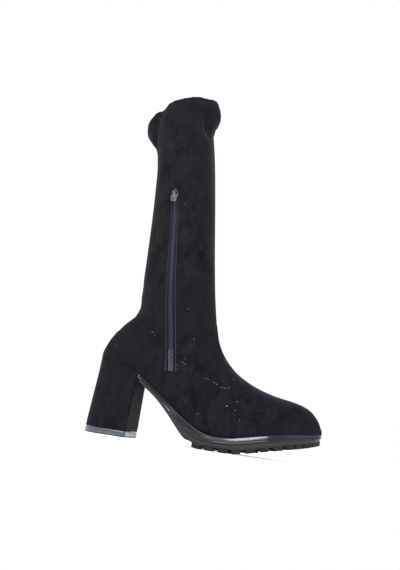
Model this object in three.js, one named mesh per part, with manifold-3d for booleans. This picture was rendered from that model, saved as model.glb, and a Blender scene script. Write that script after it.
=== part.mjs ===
// A knee-high boot for the left foot: block heel, lugged unit sole, soft shaft and a short zip on the
// inner side. Millimetres, +Z up, +X towards the toe, +Y towards the outer side of the foot. The origin
// is on the floor, under the middle of the heel.

import * as THREE from "three";
import { mergeVertices } from "three/addons/utils/BufferGeometryUtils.js";
import Module from "manifold-3d";

const wasm = await Module();
wasm.setup();

// ---------------------------------------------------------------- driving dimensions

const GAP = 0.3; // clearance between pieces that touch
const FINEST = 0.02; // details smaller than this are dropped after a cut
const WALL = 2; // upper and its lining
const LASTING_MARGIN = 14; // upper turned in under the insole
const INSOLE_THICKNESS = 3;

const HEEL_BREAST = 27; // front face of the heel at the seat
const TOE_END = 221;
const TOP_PIECE = 6; // rubber under the heel
const LUG_HEIGHT = 3.6;

const ZIP_COIL_WIDTH = 4.8;
const COIL_FACE = 0.1; // depths under the upper's surface
const COIL_DEEP = 1;
const TAPE_THICKNESS = 0.9;
const ZIP_TOP = 277;
const ZIP_BOTTOM = 70;
const SLIDER_HEIGHT = 9.6;
const SLIDER_WIDTH = 7.6;
const PULL_LENGTH = 11;
const PULL_WIDTH = 6.8;

const RING_POINTS = 36; // round each section of the upper
const SECTION_STEPS = 46; // from toe to collar
const INNER_RING_POINTS = 28;
const INNER_STEPS = 36;

// ---------------------------------------------------------------- tables

// Rows with named columns, turned into one list a column.
function columns(names, rows) {
  return Object.fromEntries(names.map((name, k) => [name, rows.map((row) => row[k])]));
}

// The sole line that the upper stands on: its height along the foot.
const SOLE_LINE = columns(["x", "z"], [
  [-40, 86.3],
  [-21, 80.8],
  [0, 75],
  [20, 69],
  [30, 64],
  [45, 54],
  [61, 42.5],
  [75, 32.3],
  [88, 23.8],
  [99, 18],
  [108, 15],
  [118, 13.8],
  [130, 14.6],
  [143, 17],
  [160, 20.8],
  [184, 25.2],
  [205, 28.2],
  [224, 30.8],
]);

// The underside that meets the floor, over the tips of the lugs.
const TREAD_LINE = columns(["x", "z"], [
  [20, 62.5],
  [31, 55.5],
  [45, 46.5],
  [55, 38.5],
  [65, 29],
  [75, 18.6],
  [83, 10.5],
  [90, 4.4],
  [97, 0.9],
  [103, 0],
  [131, 0],
  [142, 1.3],
  [151, 3.1],
  [160, 5.2],
  [170, 7.5],
  [180, 9.8],
  [190, 12.1],
  [200, 14.4],
  [210, 17],
  [217, 19.2],
  [224, 22],
]);

// Outline of the foot and of the sole rim from above, from the back of the heel to the toe.
const PLAN = columns(["x", "medial", "lateral"], [
  [-21.4, 0, 0],
  [-20.3, -6, 6],
  [-15.5, -13.4, 13.4],
  [-7, -18.6, 18.6],
  [5, -22, 22],
  [16, -23, 23],
  [27, -23.4, 23.6],
  [45, -25.4, 26.6],
  [61, -28, 30.6],
  [75, -31.6, 35.4],
  [88, -36, 40.4],
  [99, -40, 43.8],
  [110, -42.9, 45.8],
  [121, -44.6, 46.5],
  [135, -45.5, 45.8],
  [150, -45.2, 42.8],
  [165, -43.4, 37.4],
  [180, -40, 29.8],
  [192, -36.6, 24],
  [202, -33, 17.2],
  [210, -28.8, 10.4],
  [216, -23.4, 3.6],
  [219.4, -18.4, -1.6],
  [221, -12.2, -7.4],
]);

// Sections of the upper from toe to collar. Each lies in a plane across the boot, from a point on the
// sole or the back to a point on the instep or the front. medial and lateral are where the section is
// widest, wide is how far along it that is, low and high are how square each end is, ridge is the line
// that the ends lie on. ear moves the back end outwards at the collar, and crease pinches the inner wall.
const SECTIONS = columns(
  ["backX", "backZ", "frontX", "frontZ", "medial", "lateral", "ridge", "wide", "low", "high", "ear", "crease"],
  [
    [218.9, 26.5, 220.0, 35.6, -16.6, -3.2, -9.8, 0.42, 3.4, 2.3, 0, 0], // nose
    [215.0, 25.0, 216.9, 42.6, -22.6, 2.6, -9.8, 0.34, 3.8, 2.4, 0, 0],
    [205.0, 23.4, 206.6, 53.2, -30.2, 13.2, -9.2, 0.30, 4.4, 2.4, 0, 0], // toe box
    [190.0, 21.2, 192.0, 58.4, -36.8, 24.2, -8.0, 0.28, 4.5, 2.3, 0, 0],
    [172.0, 18.4, 174.2, 61.8, -41.2, 32.8, -6.6, 0.26, 4.5, 2.1, 0, 0],
    [154.0, 14.8, 157.0, 66.8, -44.6, 40.4, -5.6, 0.25, 4.5, 2.0, 0, 0],
    [136.0, 11.0, 141.2, 74.0, -45.4, 44.6, -4.6, 0.24, 4.5, 1.9, 0, 0], // ball
    [117.0, 9.4, 127.6, 83.0, -43.8, 45.2, -3.6, 0.24, 4.5, 1.85, 0, 0],
    [97.0, 14.6, 118.4, 92.6, -39.6, 43.0, -2.6, 0.25, 4.3, 1.85, 0, 0], // instep
    [76.0, 27.2, 112.6, 100.6, -34.6, 37.0, -1.6, 0.29, 4.0, 1.9, 0, 0],
    [54.0, 43.0, 108.6, 107.8, -32.0, 34.0, -0.8, 0.35, 3.7, 1.95, 0, 0], // waist
    [30.0, 59.4, 105.4, 115.2, -31.0, 32.2, 0, 0.41, 3.4, 2.0, 0, 0],
    [5.0, 69.0, 102.8, 123.0, -30.8, 31.4, 0, 0.46, 3.2, 2.0, 0, 0], // heel seat
    [-21.6, 76.0, 100.8, 130.8, -31.2, 31.6, 0, 0.49, 2.4, 2.0, 0, 0],
    [-21.2, 83.6, 99.2, 138.4, -31.8, 32.2, 0, 0.49, 2.2, 2.0, 0, 0], // counter
    [-17.4, 96.0, 97.4, 147.6, -32.6, 33.0, 0, 0.50, 2.1, 2.0, 0, 0],
    [-6.6, 113.4, 95.4, 158.6, -33.6, 34.0, 0, 0.50, 2.0, 2.0, 0, 0],
    [6.6, 127.0, 93.4, 170.6, -34.6, 35.0, 0, 0.50, 2.0, 2.0, 0, 0], // ankle
    [10.6, 143.0, 91.0, 187.0, -35.4, 35.8, 0, 0.50, 2.0, 2.0, 0, 0],
    [9.4, 163.0, 88.0, 208.0, -36.2, 36.6, 0, 0.50, 2.0, 2.0, 0, 0],
    [7.4, 210.0, 82.6, 250.0, -37.4, 37.8, 0, 0.50, 2.0, 2.0, 0, 0], // shaft
    [4.6, 262.0, 77.2, 292.0, -38.4, 38.8, 0, 0.50, 2.0, 2.0, 0, 0],
    [0.8, 308.0, 72.2, 328.0, -39.2, 39.6, 0, 0.50, 2.0, 2.0, 0, 0],
    [-4.4, 344.0, 68.8, 350.0, -39.8, 40.4, 0, 0.50, 2.0, 2.0, 1, 0.02],
    [-9.4, 358.0, 65.8, 367.0, -39.8, 41.4, 0, 0.50, 2.0, 2.0, 3, 0.12], // ears start
    [-18.6, 372.0, 62.4, 385.0, -39.4, 43.0, 0, 0.50, 2.0, 2.0, 6, 0.26],
    [-23.6, 383.6, 60.6, 400.0, -39.0, 44.4, 0, 0.50, 2.1, 2.0, 9, 0.34],
    [-22.8, 392.4, 62.6, 412.0, -38.6, 44.8, 0, 0.50, 2.1, 2.1, 9, 0.32],
    [-20.0, 400.0, 61.0, 424.0, -37.6, 43.8, 0, 0.50, 2.1, 2.1, 8, 0.26], // collar edge
  ],
);
const BACK_CREASE = 0.2; // where the inner wall is pinched, along a collar section
const FRONT_CREASE = 0.9;
const CREASE_WIDTH = 0.1;

// The zip's middle line on the inner side, and half the width of its slot.
const ZIP_LINE = columns(["z", "x", "half"], [
  [66, 63.8, 6.3],
  [70, 63, 6.3],
  [112, 56, 6.2],
  [145, 50.6, 6],
  [192, 45, 5.6],
  [229, 41.3, 5.2],
  [280, 35.3, 4.8],
]);

// The block heel: back and front faces and half width, from the floor to the seat.
const HEEL = columns(["z", "back", "breast", "half"], [
  [0, -25, 25.6, 28.4],
  [6, -24.8, 25.7, 27.8],
  [22, -24.2, 25.9, 26.4],
  [45, -23.2, 26.3, 24.6],
  [66, -22, 26.8, 23.2],
  [88, -20.6, 27, 22.6],
]);

// Ring studs in the middle of the tread.
const STUDS = columns(["x", "y"], [
  [108, -2],
  [132, -10],
  [156, -17],
  [173, -12],
  [122, 12],
  [147, 4],
  [163, 9],
]);

// ---------------------------------------------------------------- curves

// A smooth curve through the rows that never overshoots them.
function through(xs, ys) {
  const slopes = ys.slice(1).map((y, k) => (y - ys[k]) / (xs[k + 1] - xs[k]));
  const tangents = ys.map((_, k) => {
    const before = slopes[Math.max(k - 1, 0)];
    const after = slopes[Math.min(k, slopes.length - 1)];
    return before * after <= 0 ? 0 : (2 * before * after) / (before + after);
  });
  return (x) => {
    const last = xs.length - 2;
    let k = xs.findIndex((edge) => edge > x) - 1;
    k = k === -2 ? last : Math.min(Math.max(k, 0), last);
    const width = xs[k + 1] - xs[k];
    const t = THREE.MathUtils.clamp((x - xs[k]) / width, 0, 1);
    const a = 2 * t ** 3 - 3 * t ** 2 + 1;
    const b = t ** 3 - 2 * t ** 2 + t;
    const c = -2 * t ** 3 + 3 * t ** 2;
    const d = t ** 3 - t ** 2;
    return a * ys[k] + b * width * tangents[k] + c * ys[k + 1] + d * width * tangents[k + 1];
  };
}

const soleLine = through(SOLE_LINE.x, SOLE_LINE.z);
const treadLine = through(TREAD_LINE.x, TREAD_LINE.z);
const zipX = through(ZIP_LINE.z, ZIP_LINE.x);
const zipHalf = through(ZIP_LINE.z, ZIP_LINE.half);
const heelBack = through(HEEL.z, HEEL.back);
const heelBreast = through(HEEL.z, HEEL.breast);
const heelHalf = through(HEEL.z, HEEL.half);

// The underside between the lugs: the lugs start past the smooth shank.
function baseLine(x) {
  const lugs = THREE.MathUtils.smoothstep(x, 84, 94);
  return treadLine(x) + LUG_HEIGHT * lugs;
}

// One side of the plan as a function of x, from a curve through the table's points.
function planSide(side) {
  const points = PLAN.x.map((x, k) => new THREE.Vector3(x, PLAN[side][k], 0));
  const dense = new THREE.CatmullRomCurve3(points, false, "centripetal").getPoints(400);
  return (x) => {
    const found = dense.findIndex((p) => p.x >= x);
    const k = found < 0 ? dense.length - 1 : Math.max(found, 1);
    const t = THREE.MathUtils.clamp((x - dense[k - 1].x) / (dense[k].x - dense[k - 1].x), 0, 1);
    return THREE.MathUtils.lerp(dense[k - 1].y, dense[k].y, t);
  };
}

const planMedial = planSide("medial");
const planLateral = planSide("lateral");

// ---------------------------------------------------------------- solids

// A closed skin over rings with the same number of points. Point 0 and the middle point of each ring
// lie on its long axis, so strips across that axis close the two ends.
function skin(rings) {
  const count = rings[0].length;
  const half = count / 2;
  const index = [];
  for (let r = 0; r + 1 < rings.length; r++) {
    for (let k = 0; k < count; k++) {
      const a = r * count + k;
      const b = r * count + ((k + 1) % count);
      index.push(a, b, b + count, a, b + count, a + count);
    }
  }
  const cap = (start, flip) => {
    const face = (a, b, c) => index.push(start + a, start + (flip ? c : b), start + (flip ? b : c));
    for (let k = 0; k < half; k++) {
      const near = (count - k) % count;
      const far = count - k - 1;
      if (k > 0) face(k, near, k + 1);
      if (k + 1 < half) face(near, far, k + 1);
    }
  };
  cap(0, false);
  cap((rings.length - 1) * count, true);
  const geometry = new THREE.BufferGeometry();
  const flat = rings.flat().flatMap((p) => [p.x, p.y, p.z]);
  geometry.setAttribute("position", new THREE.Float32BufferAttribute(flat, 3));
  geometry.setIndex(index);
  return geometry;
}

// Six times the volume that a closed mesh holds, negative where its faces point in.
function windingVolume(position, index) {
  const [a, b, c] = [new THREE.Vector3(), new THREE.Vector3(), new THREE.Vector3()];
  let total = 0;
  for (let k = 0; k < index.count; k += 3) {
    a.fromBufferAttribute(position, index.getX(k));
    b.fromBufferAttribute(position, index.getX(k + 1));
    c.fromBufferAttribute(position, index.getX(k + 2));
    total += a.dot(b.cross(c));
  }
  return total;
}

// A three.js geometry as a solid that can be joined and cut.
function solid(geometry) {
  const bare = geometry.clone();
  bare.deleteAttribute("normal");
  bare.deleteAttribute("uv");
  const merged = mergeVertices(bare, 1e-4);
  const triVerts = new Uint32Array(merged.index.array);
  if (windingVolume(merged.attributes.position, merged.index) < 0) {
    triVerts.reverse();
  }
  const vertProperties = new Float32Array(merged.attributes.position.array);
  return new wasm.Manifold(new wasm.Mesh({ numProp: 3, vertProperties, triVerts }));
}

// A solid back as a named mesh.
function piece(name, body, finish) {
  const mesh = body.simplify(FINEST).getMesh();
  const geometry = new THREE.BufferGeometry();
  geometry.setAttribute("position", new THREE.Float32BufferAttribute(mesh.vertProperties, 3));
  geometry.setIndex(Array.from(mesh.triVerts));
  geometry.computeVertexNormals();
  const made = new THREE.Mesh(geometry, new THREE.MeshStandardMaterial(finish));
  made.name = name;
  return made;
}

function joined(solids) {
  return solids.reduce((sum, next) => sum.add(next));
}

// A side profile in x and z, extruded across the boot.
function sidePrism(points, yFrom, yTo) {
  const shape = new THREE.Shape(points.map(([x, z]) => new THREE.Vector2(x, z)));
  const geometry = new THREE.ExtrudeGeometry(shape, { depth: yTo - yFrom, bevelEnabled: false });
  geometry.rotateX(Math.PI / 2);
  geometry.translate(0, yTo, 0);
  return solid(geometry);
}

// A plan outline in x and y, extruded upwards.
function planPrism(points, zFrom, zTo) {
  const shape = new THREE.Shape(points.map(([x, y]) => new THREE.Vector2(x, y)));
  const geometry = new THREE.ExtrudeGeometry(shape, { depth: zTo - zFrom, bevelEnabled: false });
  geometry.translate(0, 0, zFrom);
  return solid(geometry);
}

function block(width, depth, height, centre) {
  return solid(new THREE.BoxGeometry(width, depth, height).translate(...centre));
}

// Everything below the sole line raised by lift, or above it.
function besideSoleLine(lift, end) {
  const xs = Array.from({ length: 56 }, (_, k) => -40 + k * 4.8);
  const profile = xs.map((x) => [x, soleLine(x) + lift]);
  const reach = xs[xs.length - 1];
  return sidePrism([...profile, [reach, end], [-40, end]], -80, 80);
}

// ---------------------------------------------------------------- upper

const rowNumbers = SECTIONS.backX.map((_, k) => k);
const sectionColumn = Object.fromEntries(
  Object.entries(SECTIONS).map(([name, values]) => [name, through(rowNumbers, values)]),
);
const LAST_ROW = rowNumbers.length - 1;

// The two ends of the section at row t, moved into the boot by inset.
function sectionEnds(t, inset) {
  const end = (side, turn) => {
    const at = (u) => new THREE.Vector2(sectionColumn[side + "X"](u), sectionColumn[side + "Z"](u));
    const here = at(t);
    const along = at(Math.min(t + 0.05, LAST_ROW)).sub(at(Math.max(t - 0.05, 0))).normalize();
    return here.add(new THREE.Vector2(along.y, -along.x).multiplyScalar(turn * inset));
  };
  return { back: end("back", 1), front: end("front", -1) };
}

// How far a section point lies from the ridge, as a share of the section's half width.
function pinch(along, t, side) {
  const bump = (centre) => Math.exp(-(((along - centre) / CREASE_WIDTH) ** 2));
  const depth = sectionColumn.crease(t) * (bump(BACK_CREASE) + 0.6 * bump(FRONT_CREASE));
  return side === "medial" ? 1 - depth : 1;
}

// A point of the upper on row t, at angle turn from the back end, round by the inner side.
function upperPoint(t, turn, inset, ends) {
  const value = (name) => sectionColumn[name](t);
  const side = turn < Math.PI ? "medial" : "lateral";
  const across = -Math.cos(turn);
  const out = Math.abs(Math.sin(turn));
  const wide = value("wide");
  const power = 2 / (across < 0 ? value("low") : value("high"));
  const reach = Math.abs(across) ** power;
  const along = across < 0 ? wide * (1 - reach) : wide + (1 - wide) * reach;
  const half = value(side) - value("ridge");
  const width = (half - Math.sign(half) * inset) * out ** power * pinch(along, t, side);
  const ear = value("ear") * (1 - along) ** 3;
  const place = ends.back.clone().lerp(ends.front, along);
  return new THREE.Vector3(place.x, value("ridge") + ear + width, place.y);
}

// The rings of the upper's surface moved in by inset, from row first to row last.
function upperRings(inset, steps, points, first, last) {
  return Array.from({ length: steps + 1 }, (_, step) => {
    const t = THREE.MathUtils.lerp(first, last, step / steps);
    const ends = sectionEnds(t, inset);
    return Array.from({ length: points }, (_, k) => upperPoint(t, (2 * Math.PI * k) / points, inset, ends));
  });
}

// The inner surface, carried on past the collar so that it opens the top.
function innerForm(inset) {
  const rings = upperRings(inset, INNER_STEPS, INNER_RING_POINTS, 0.12, LAST_ROW);
  const rim = rings[rings.length - 1];
  rings.push(rim.map((p) => new THREE.Vector3(p.x - 2, p.y, p.z + 8)));
  return solid(skin(rings));
}

// Depth of the outer surface on the inner side of the boot, at a point in side view.
function medialSurface(x, z) {
  let low = 0;
  let high = LAST_ROW;
  const offLine = (t) => {
    const { back, front } = sectionEnds(t, 0);
    return (front.x - back.x) * (z - back.y) - (front.y - back.y) * (x - back.x);
  };
  for (let k = 0; k < 40; k++) {
    const middle = (low + high) / 2;
    if (offLine(middle) > 0) {
      low = middle;
    } else {
      high = middle;
    }
  }
  const { back, front } = sectionEnds(low, 0);
  const line = front.clone().sub(back);
  const along = new THREE.Vector2(x - back.x, z - back.y).dot(line) / line.lengthSq();
  const wide = sectionColumn.wide(low);
  const off = along < wide ? (wide - along) / wide : (along - wide) / (1 - wide);
  const power = along < wide ? sectionColumn.low(low) : sectionColumn.high(low);
  const share = (1 - Math.min(off, 1) ** power) ** (1 / power);
  return sectionColumn.ridge(low) + (sectionColumn.medial(low) - sectionColumn.ridge(low)) * share;
}

// The slot that the zip fills, right through the inner wall.
function zipSlot(extra) {
  const steps = 14;
  const heights = Array.from({ length: steps + 1 }, (_, k) => ZIP_BOTTOM + ((ZIP_TOP - ZIP_BOTTOM) * k) / steps);
  const back = heights.map((z) => [zipX(z) - zipHalf(z) - extra, z]);
  const front = heights.map((z) => [zipX(z) + zipHalf(z) + extra, z]);
  return sidePrism([...back, ...front.reverse()], -60, -16);
}

function makeUpper() {
  const outer = solid(skin(upperRings(0, SECTION_STEPS, RING_POINTS, 0, LAST_ROW)));
  const inside = innerForm(WALL).subtract(besideSoleLine(WALL, -60));
  const margin = skin([
    planRing(-16, 205, LASTING_MARGIN, (x) => soleLine(x) - 6),
    planRing(-16, 205, LASTING_MARGIN, (x) => soleLine(x) + WALL + 1),
  ]);
  return outer.subtract(besideSoleLine(0, -60)).subtract(inside).subtract(solid(margin)).subtract(zipSlot(0));
}

// ---------------------------------------------------------------- sole and insole

const PLAN_STATIONS = 32;

// A closed outline of the plan between two stations, moved in by inset, with its height from x.
function planRing(xFrom, xTo, inset, height) {
  const xs = Array.from({ length: PLAN_STATIONS }, (_, k) => {
    const t = (k + 0.4) / (PLAN_STATIONS + 0.6);
    return THREE.MathUtils.lerp(xFrom, xTo, Math.sin((t * Math.PI) / 2));
  });
  const backBow = 0.4;
  const first = [xFrom - backBow, (planMedial(xs[0]) + planLateral(xs[0])) / 2];
  const last = [xTo + (xTo < TOE_END ? backBow : 0), (planMedial(xTo) + planLateral(xTo)) / 2];
  const medial = xs.map((x, k) => [k === 0 ? xFrom : x, planMedial(x)]);
  const lateral = xs.map((x, k) => [k === 0 ? xFrom : x, planLateral(x)]).reverse();
  const outline = [first, ...medial, last, ...lateral].map(([x, y]) => new THREE.Vector2(x, y));
  return outline.map((here, k) => {
    const before = outline[(k + outline.length - 1) % outline.length];
    const after = outline[(k + 1) % outline.length];
    const along = after.clone().sub(before).normalize();
    const moved = here.clone().add(new THREE.Vector2(-along.y, along.x).multiplyScalar(inset));
    if (k === 0) moved.copy(here);
    return new THREE.Vector3(moved.x, moved.y, height(moved.x));
  });
}

// The sole without its lugs: a rim in two steps over a base that thins towards the shank.
function soleBase() {
  const rim = columns(["inset", "depth"], [
    [0.9, 0],
    [0, 0.1],
    [0.1, 0.5],
    [1.2, 0.6],
    [1.3, 0.88],
    [2.4, 1],
  ]);
  const start = HEEL_BREAST + GAP;
  const rings = rim.inset.map((inset, k) =>
    planRing(start, TOE_END, inset, (x) => {
      const top = soleLine(x) - GAP;
      return top + (baseLine(x) - top) * rim.depth[k];
    }),
  );
  return solid(skin(rings));
}

// The space that the lugs fill, from inside the base down to the floor line.
function treadSpace() {
  const start = HEEL_BREAST + 58;
  return solid(
    skin([
      planRing(start, TOE_END - 0.6, 1.7, (x) => baseLine(x) + 0.8),
      planRing(start, TOE_END - 0.6, 2.1, (x) => treadLine(x)),
    ]),
  );
}

// A lug from the sole's edge inwards, narrower at its inner end.
function edgeLug(x, edge, inner, length, lean) {
  const half = length / 2;
  return planPrism(
    [
      [x - half, edge],
      [x + half, edge],
      [x + half * 0.5 + lean, inner],
      [x - half * 0.5 + lean, inner],
    ],
    -5,
    40,
  );
}

function edgeLugs() {
  const lugs = [];
  const count = 7;
  const pitch = 13.2;
  for (let k = 0; k < count; k++) {
    const x = 99.5 + k * pitch;
    const lean = THREE.MathUtils.lerp(4, -2, k / (count - 1));
    const reach = THREE.MathUtils.lerp(13, 17, Math.sin((k / (count - 1)) * Math.PI));
    lugs.push(edgeLug(x, -60, planMedial(x) + reach, 8.4, lean));
    const outer = x - 3;
    lugs.push(edgeLug(outer, 60, planLateral(outer) - reach + 1, 8, lean));
    lugs.push(zigzagFoot(outer + lean, planLateral(outer) - reach + 1));
  }
  return lugs;
}

// The hooked inner end of an outer lug.
function zigzagFoot(x, y) {
  return planPrism([[x - 2, y + 1], [x + 6, y - 2], [x + 6, y + 2], [x - 2, y + 5]], -5, 40);
}

// A round stud with a dimple.
function ringStud(x, y) {
  const ring = solid(new THREE.CylinderGeometry(4.2, 4.2, 45, 14).rotateX(Math.PI / 2).translate(x, y, 17.5));
  const hole = solid(new THREE.CylinderGeometry(1.7, 1.7, 60, 10).rotateX(Math.PI / 2).translate(x, y, 17.5));
  return ring.subtract(hole);
}

// The solid toe of the tread, with grooves that fan out from one point.
function toeFan() {
  const hub = new THREE.Vector2(183, -10);
  let pad = planPrism([[186, -60], [240, -60], [240, 60], [181, 60], [189, 2], [189, -20]], -5, 40);
  const grooves = 8;
  for (let k = 0; k < grooves; k++) {
    const angle = THREE.MathUtils.degToRad(THREE.MathUtils.lerp(-66, 62, k / (grooves - 1)));
    const groove = new THREE.BoxGeometry(60, 1.5, 60).translate(36, 0, 0).rotateZ(angle);
    pad = pad.subtract(solid(groove.translate(hub.x, hub.y, 15)));
  }
  return pad;
}

function makeOutsole() {
  const studs = STUDS.x.map((x, k) => ringStud(x, STUDS.y[k]));
  const lugs = joined([...edgeLugs(), ...studs, toeFan()]);
  return soleBase().add(lugs.intersect(treadSpace()));
}

function makeInsole() {
  const low = WALL + GAP;
  const board = skin([
    planRing(-17, 215, 1.5, (x) => soleLine(x) + low),
    planRing(-17, 215, 1.5, (x) => soleLine(x) + low + INSOLE_THICKNESS),
  ]);
  return solid(board).intersect(innerForm(WALL + GAP + 0.3));
}

// ---------------------------------------------------------------- heel

// The D-shaped outline of the heel at height z, from the middle of the breast round the inner side.
function heelRing(z, inset = 0) {
  const back = heelBack(z) + inset;
  const breast = heelBreast(z) - inset;
  const half = heelHalf(z) - inset;
  const corner = 2.4;
  const widest = breast - 15;
  const arc = 11;
  const side = [
    [breast, half - corner],
    [breast - corner, half],
    [widest, half],
  ];
  for (let k = 1; k < arc; k++) {
    const angle = (k / arc) * (Math.PI / 2);
    side.push([widest - (widest - back) * Math.sin(angle), half * Math.cos(angle)]);
  }
  const point = ([x, y]) => new THREE.Vector3(x, y, z);
  const inner = side.map(([x, y]) => point([x, -y]));
  const outer = side.map(point).reverse();
  return [point([breast - 0.2, 0]), ...inner, point([back, 0]), ...outer];
}

function makeHeelBlock() {
  const levels = [TOP_PIECE + GAP, 14, 22, 34, 45, 56, 66, 77, 88];
  const shaft = solid(skin(levels.map((z) => heelRing(z))));
  return shaft.subtract(besideSoleLine(-GAP, 140));
}

function makeTopPiece() {
  return solid(skin([heelRing(0, 0.5), heelRing(0.7), heelRing(TOP_PIECE)]));
}

// ---------------------------------------------------------------- zip

// A strip along the zip, between two offsets from its middle line and two depths under the surface.
function zipStrip(from, to, inset, offset, deep) {
  const steps = 18;
  const rings = Array.from({ length: steps + 1 }, (_, k) => {
    const z = THREE.MathUtils.lerp(from, to, k / steps);
    const [left, right] = offset(z);
    const at = (x, depth) => new THREE.Vector3(x, medialSurface(x, z) + depth, z);
    const middle = (left + right) / 2;
    return [at(left, (inset + deep) / 2), at(left, inset), at(middle, inset), at(right, inset)].concat([
      at(right, (inset + deep) / 2),
      at(right, deep),
      at(middle, deep),
      at(left, deep),
    ]);
  });
  return solid(skin(rings));
}

function makeZipTape(side) {
  const inner = GAP / 2;
  const offset = (z) => {
    const edges = [zipX(z) + side * inner, zipX(z) + side * (zipHalf(z) - GAP)];
    return side < 0 ? edges.reverse() : edges;
  };
  const face = COIL_DEEP + GAP;
  return zipStrip(ZIP_BOTTOM + GAP, ZIP_TOP - GAP, face, offset, face + TAPE_THICKNESS);
}

function makeZipCoil() {
  const half = ZIP_COIL_WIDTH / 2;
  const top = ZIP_TOP - SLIDER_HEIGHT - 2 * GAP - 1;
  return zipStrip(ZIP_BOTTOM + GAP, top, COIL_FACE, (z) => [zipX(z) - half, zipX(z) + half], COIL_DEEP);
}

const SLIDER_Z = ZIP_TOP - 1 - SLIDER_HEIGHT / 2;
const SLIDER_X = zipX(SLIDER_Z);
const SLIDER_FACE = medialSurface(SLIDER_X, SLIDER_Z) - 2.4;
const BAR_RADIUS = 0.8;
const EYE_RADIUS = 1.9;
const BAR_Z = SLIDER_Z + 1.4;
const BAR_Y = SLIDER_FACE - EYE_RADIUS - 0.3;

function cylinderAcross(radius, width, sides) {
  return new THREE.CylinderGeometry(radius, radius, width, sides).rotateZ(Math.PI / 2);
}

// Slider: a body tapering downwards, a key in the slot behind it, and a bar on two posts for the pull.
function makeSlider() {
  const half = SLIDER_WIDTH / 2;
  const top = SLIDER_Z + SLIDER_HEIGHT / 2;
  const bottom = SLIDER_Z - SLIDER_HEIGHT / 2;
  const profile = [
    [SLIDER_X - half + 1, top],
    [SLIDER_X - half, top - 1.2],
    [SLIDER_X - half, SLIDER_Z],
    [SLIDER_X - half + 1.3, bottom],
    [SLIDER_X + half - 1.3, bottom],
    [SLIDER_X + half, SLIDER_Z],
    [SLIDER_X + half, top - 1.2],
    [SLIDER_X + half - 1, top],
  ];
  const body = sidePrism(profile, SLIDER_FACE, SLIDER_FACE + 2.6);
  const key = block(3.6, 1.8, SLIDER_HEIGHT - 1, [SLIDER_X, SLIDER_FACE + 2.5, SLIDER_Z]);
  const posts = [-1, 1].map((side) =>
    block(1, 3.4, 2.2, [SLIDER_X + side * 2.1, SLIDER_FACE - 1.3, BAR_Z]),
  );
  const bar = solid(cylinderAcross(BAR_RADIUS, 4.6, 12).translate(SLIDER_X, BAR_Y, BAR_Z));
  return joined([body, key, ...posts, bar]);
}

// Pull tab: an eye round the bar and a plate with a shallow panel.
function makePull() {
  const eye = solid(cylinderAcross(EYE_RADIUS, 2.6, 16)).subtract(
    solid(cylinderAcross(BAR_RADIUS + GAP, 6, 16)),
  );
  const half = PULL_WIDTH / 2;
  const top = -EYE_RADIUS + 0.5;
  const end = top - PULL_LENGTH;
  const plate = sidePrism(
    [
      [-1.3, top + 0.6],
      [-1.3, top - 0.4],
      [-half + 0.6, top - 2],
      [-half, end + 1.6],
      [-half + 1.4, end],
      [half - 1.4, end],
      [half, end + 1.6],
      [half - 0.6, top - 2],
      [1.3, top - 0.4],
      [1.3, top + 0.6],
    ],
    -0.7,
    0.7,
  );
  const panel = block(PULL_WIDTH - 3, 1, PULL_LENGTH - 4.6, [0, -1, end + PULL_LENGTH / 2 - 0.9]);
  return eye.add(plate).subtract(panel).translate([SLIDER_X, BAR_Y, BAR_Z]);
}

// ---------------------------------------------------------------- finishes and assembly

const SUEDE = { color: 0x232528, roughness: 0.95, metalness: 0 };
const SOLE_RUBBER = { color: 0x17181b, roughness: 0.35, metalness: 0 };
const HEEL_RUBBER = { color: 0x3a4046, roughness: 0.5, metalness: 0 };
const SOCK = { color: 0x2b2a29, roughness: 0.9, metalness: 0 };
const TAPE = { color: 0x1b2033, roughness: 0.85, metalness: 0 };
const COIL = { color: 0x4b4d63, roughness: 0.5, metalness: 0 };
const NICKEL = { color: 0x6c6f73, roughness: 0.3, metalness: 1 };

const boot = new THREE.Group();
boot.add(piece("upper", makeUpper(), SUEDE));
boot.add(piece("outsole", makeOutsole(), SOLE_RUBBER));
boot.add(piece("heel_block", makeHeelBlock(), SUEDE));
boot.add(piece("heel_top_piece", makeTopPiece(), HEEL_RUBBER));
boot.add(piece("insole", makeInsole(), SOCK));
boot.add(piece("zip_tape_back", makeZipTape(-1), TAPE));
boot.add(piece("zip_tape_front", makeZipTape(1), TAPE));
boot.add(piece("zip_coil", makeZipCoil(), COIL));
boot.add(piece("zip_slider", makeSlider(), NICKEL));
boot.add(piece("zip_pull", makePull(), NICKEL));

export default boot;
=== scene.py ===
"""A knee-high boot for the left foot, in black faux suede with a block heel, a lugged sole and an inner zip.

Sizes are in millimetres, in the boot's own frame: +X to the toe, +Y to the outer side of the foot, +Z up,
with the origin on the floor under the heel. Finished meshes are brought to metres.
"""

import bisect
import logging
import math
import random
from collections.abc import Callable, Iterable, Sequence
from dataclasses import dataclass, field
from enum import Enum
from typing import NamedTuple

import bmesh
import bpy
from mathutils import Matrix, Vector


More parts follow.
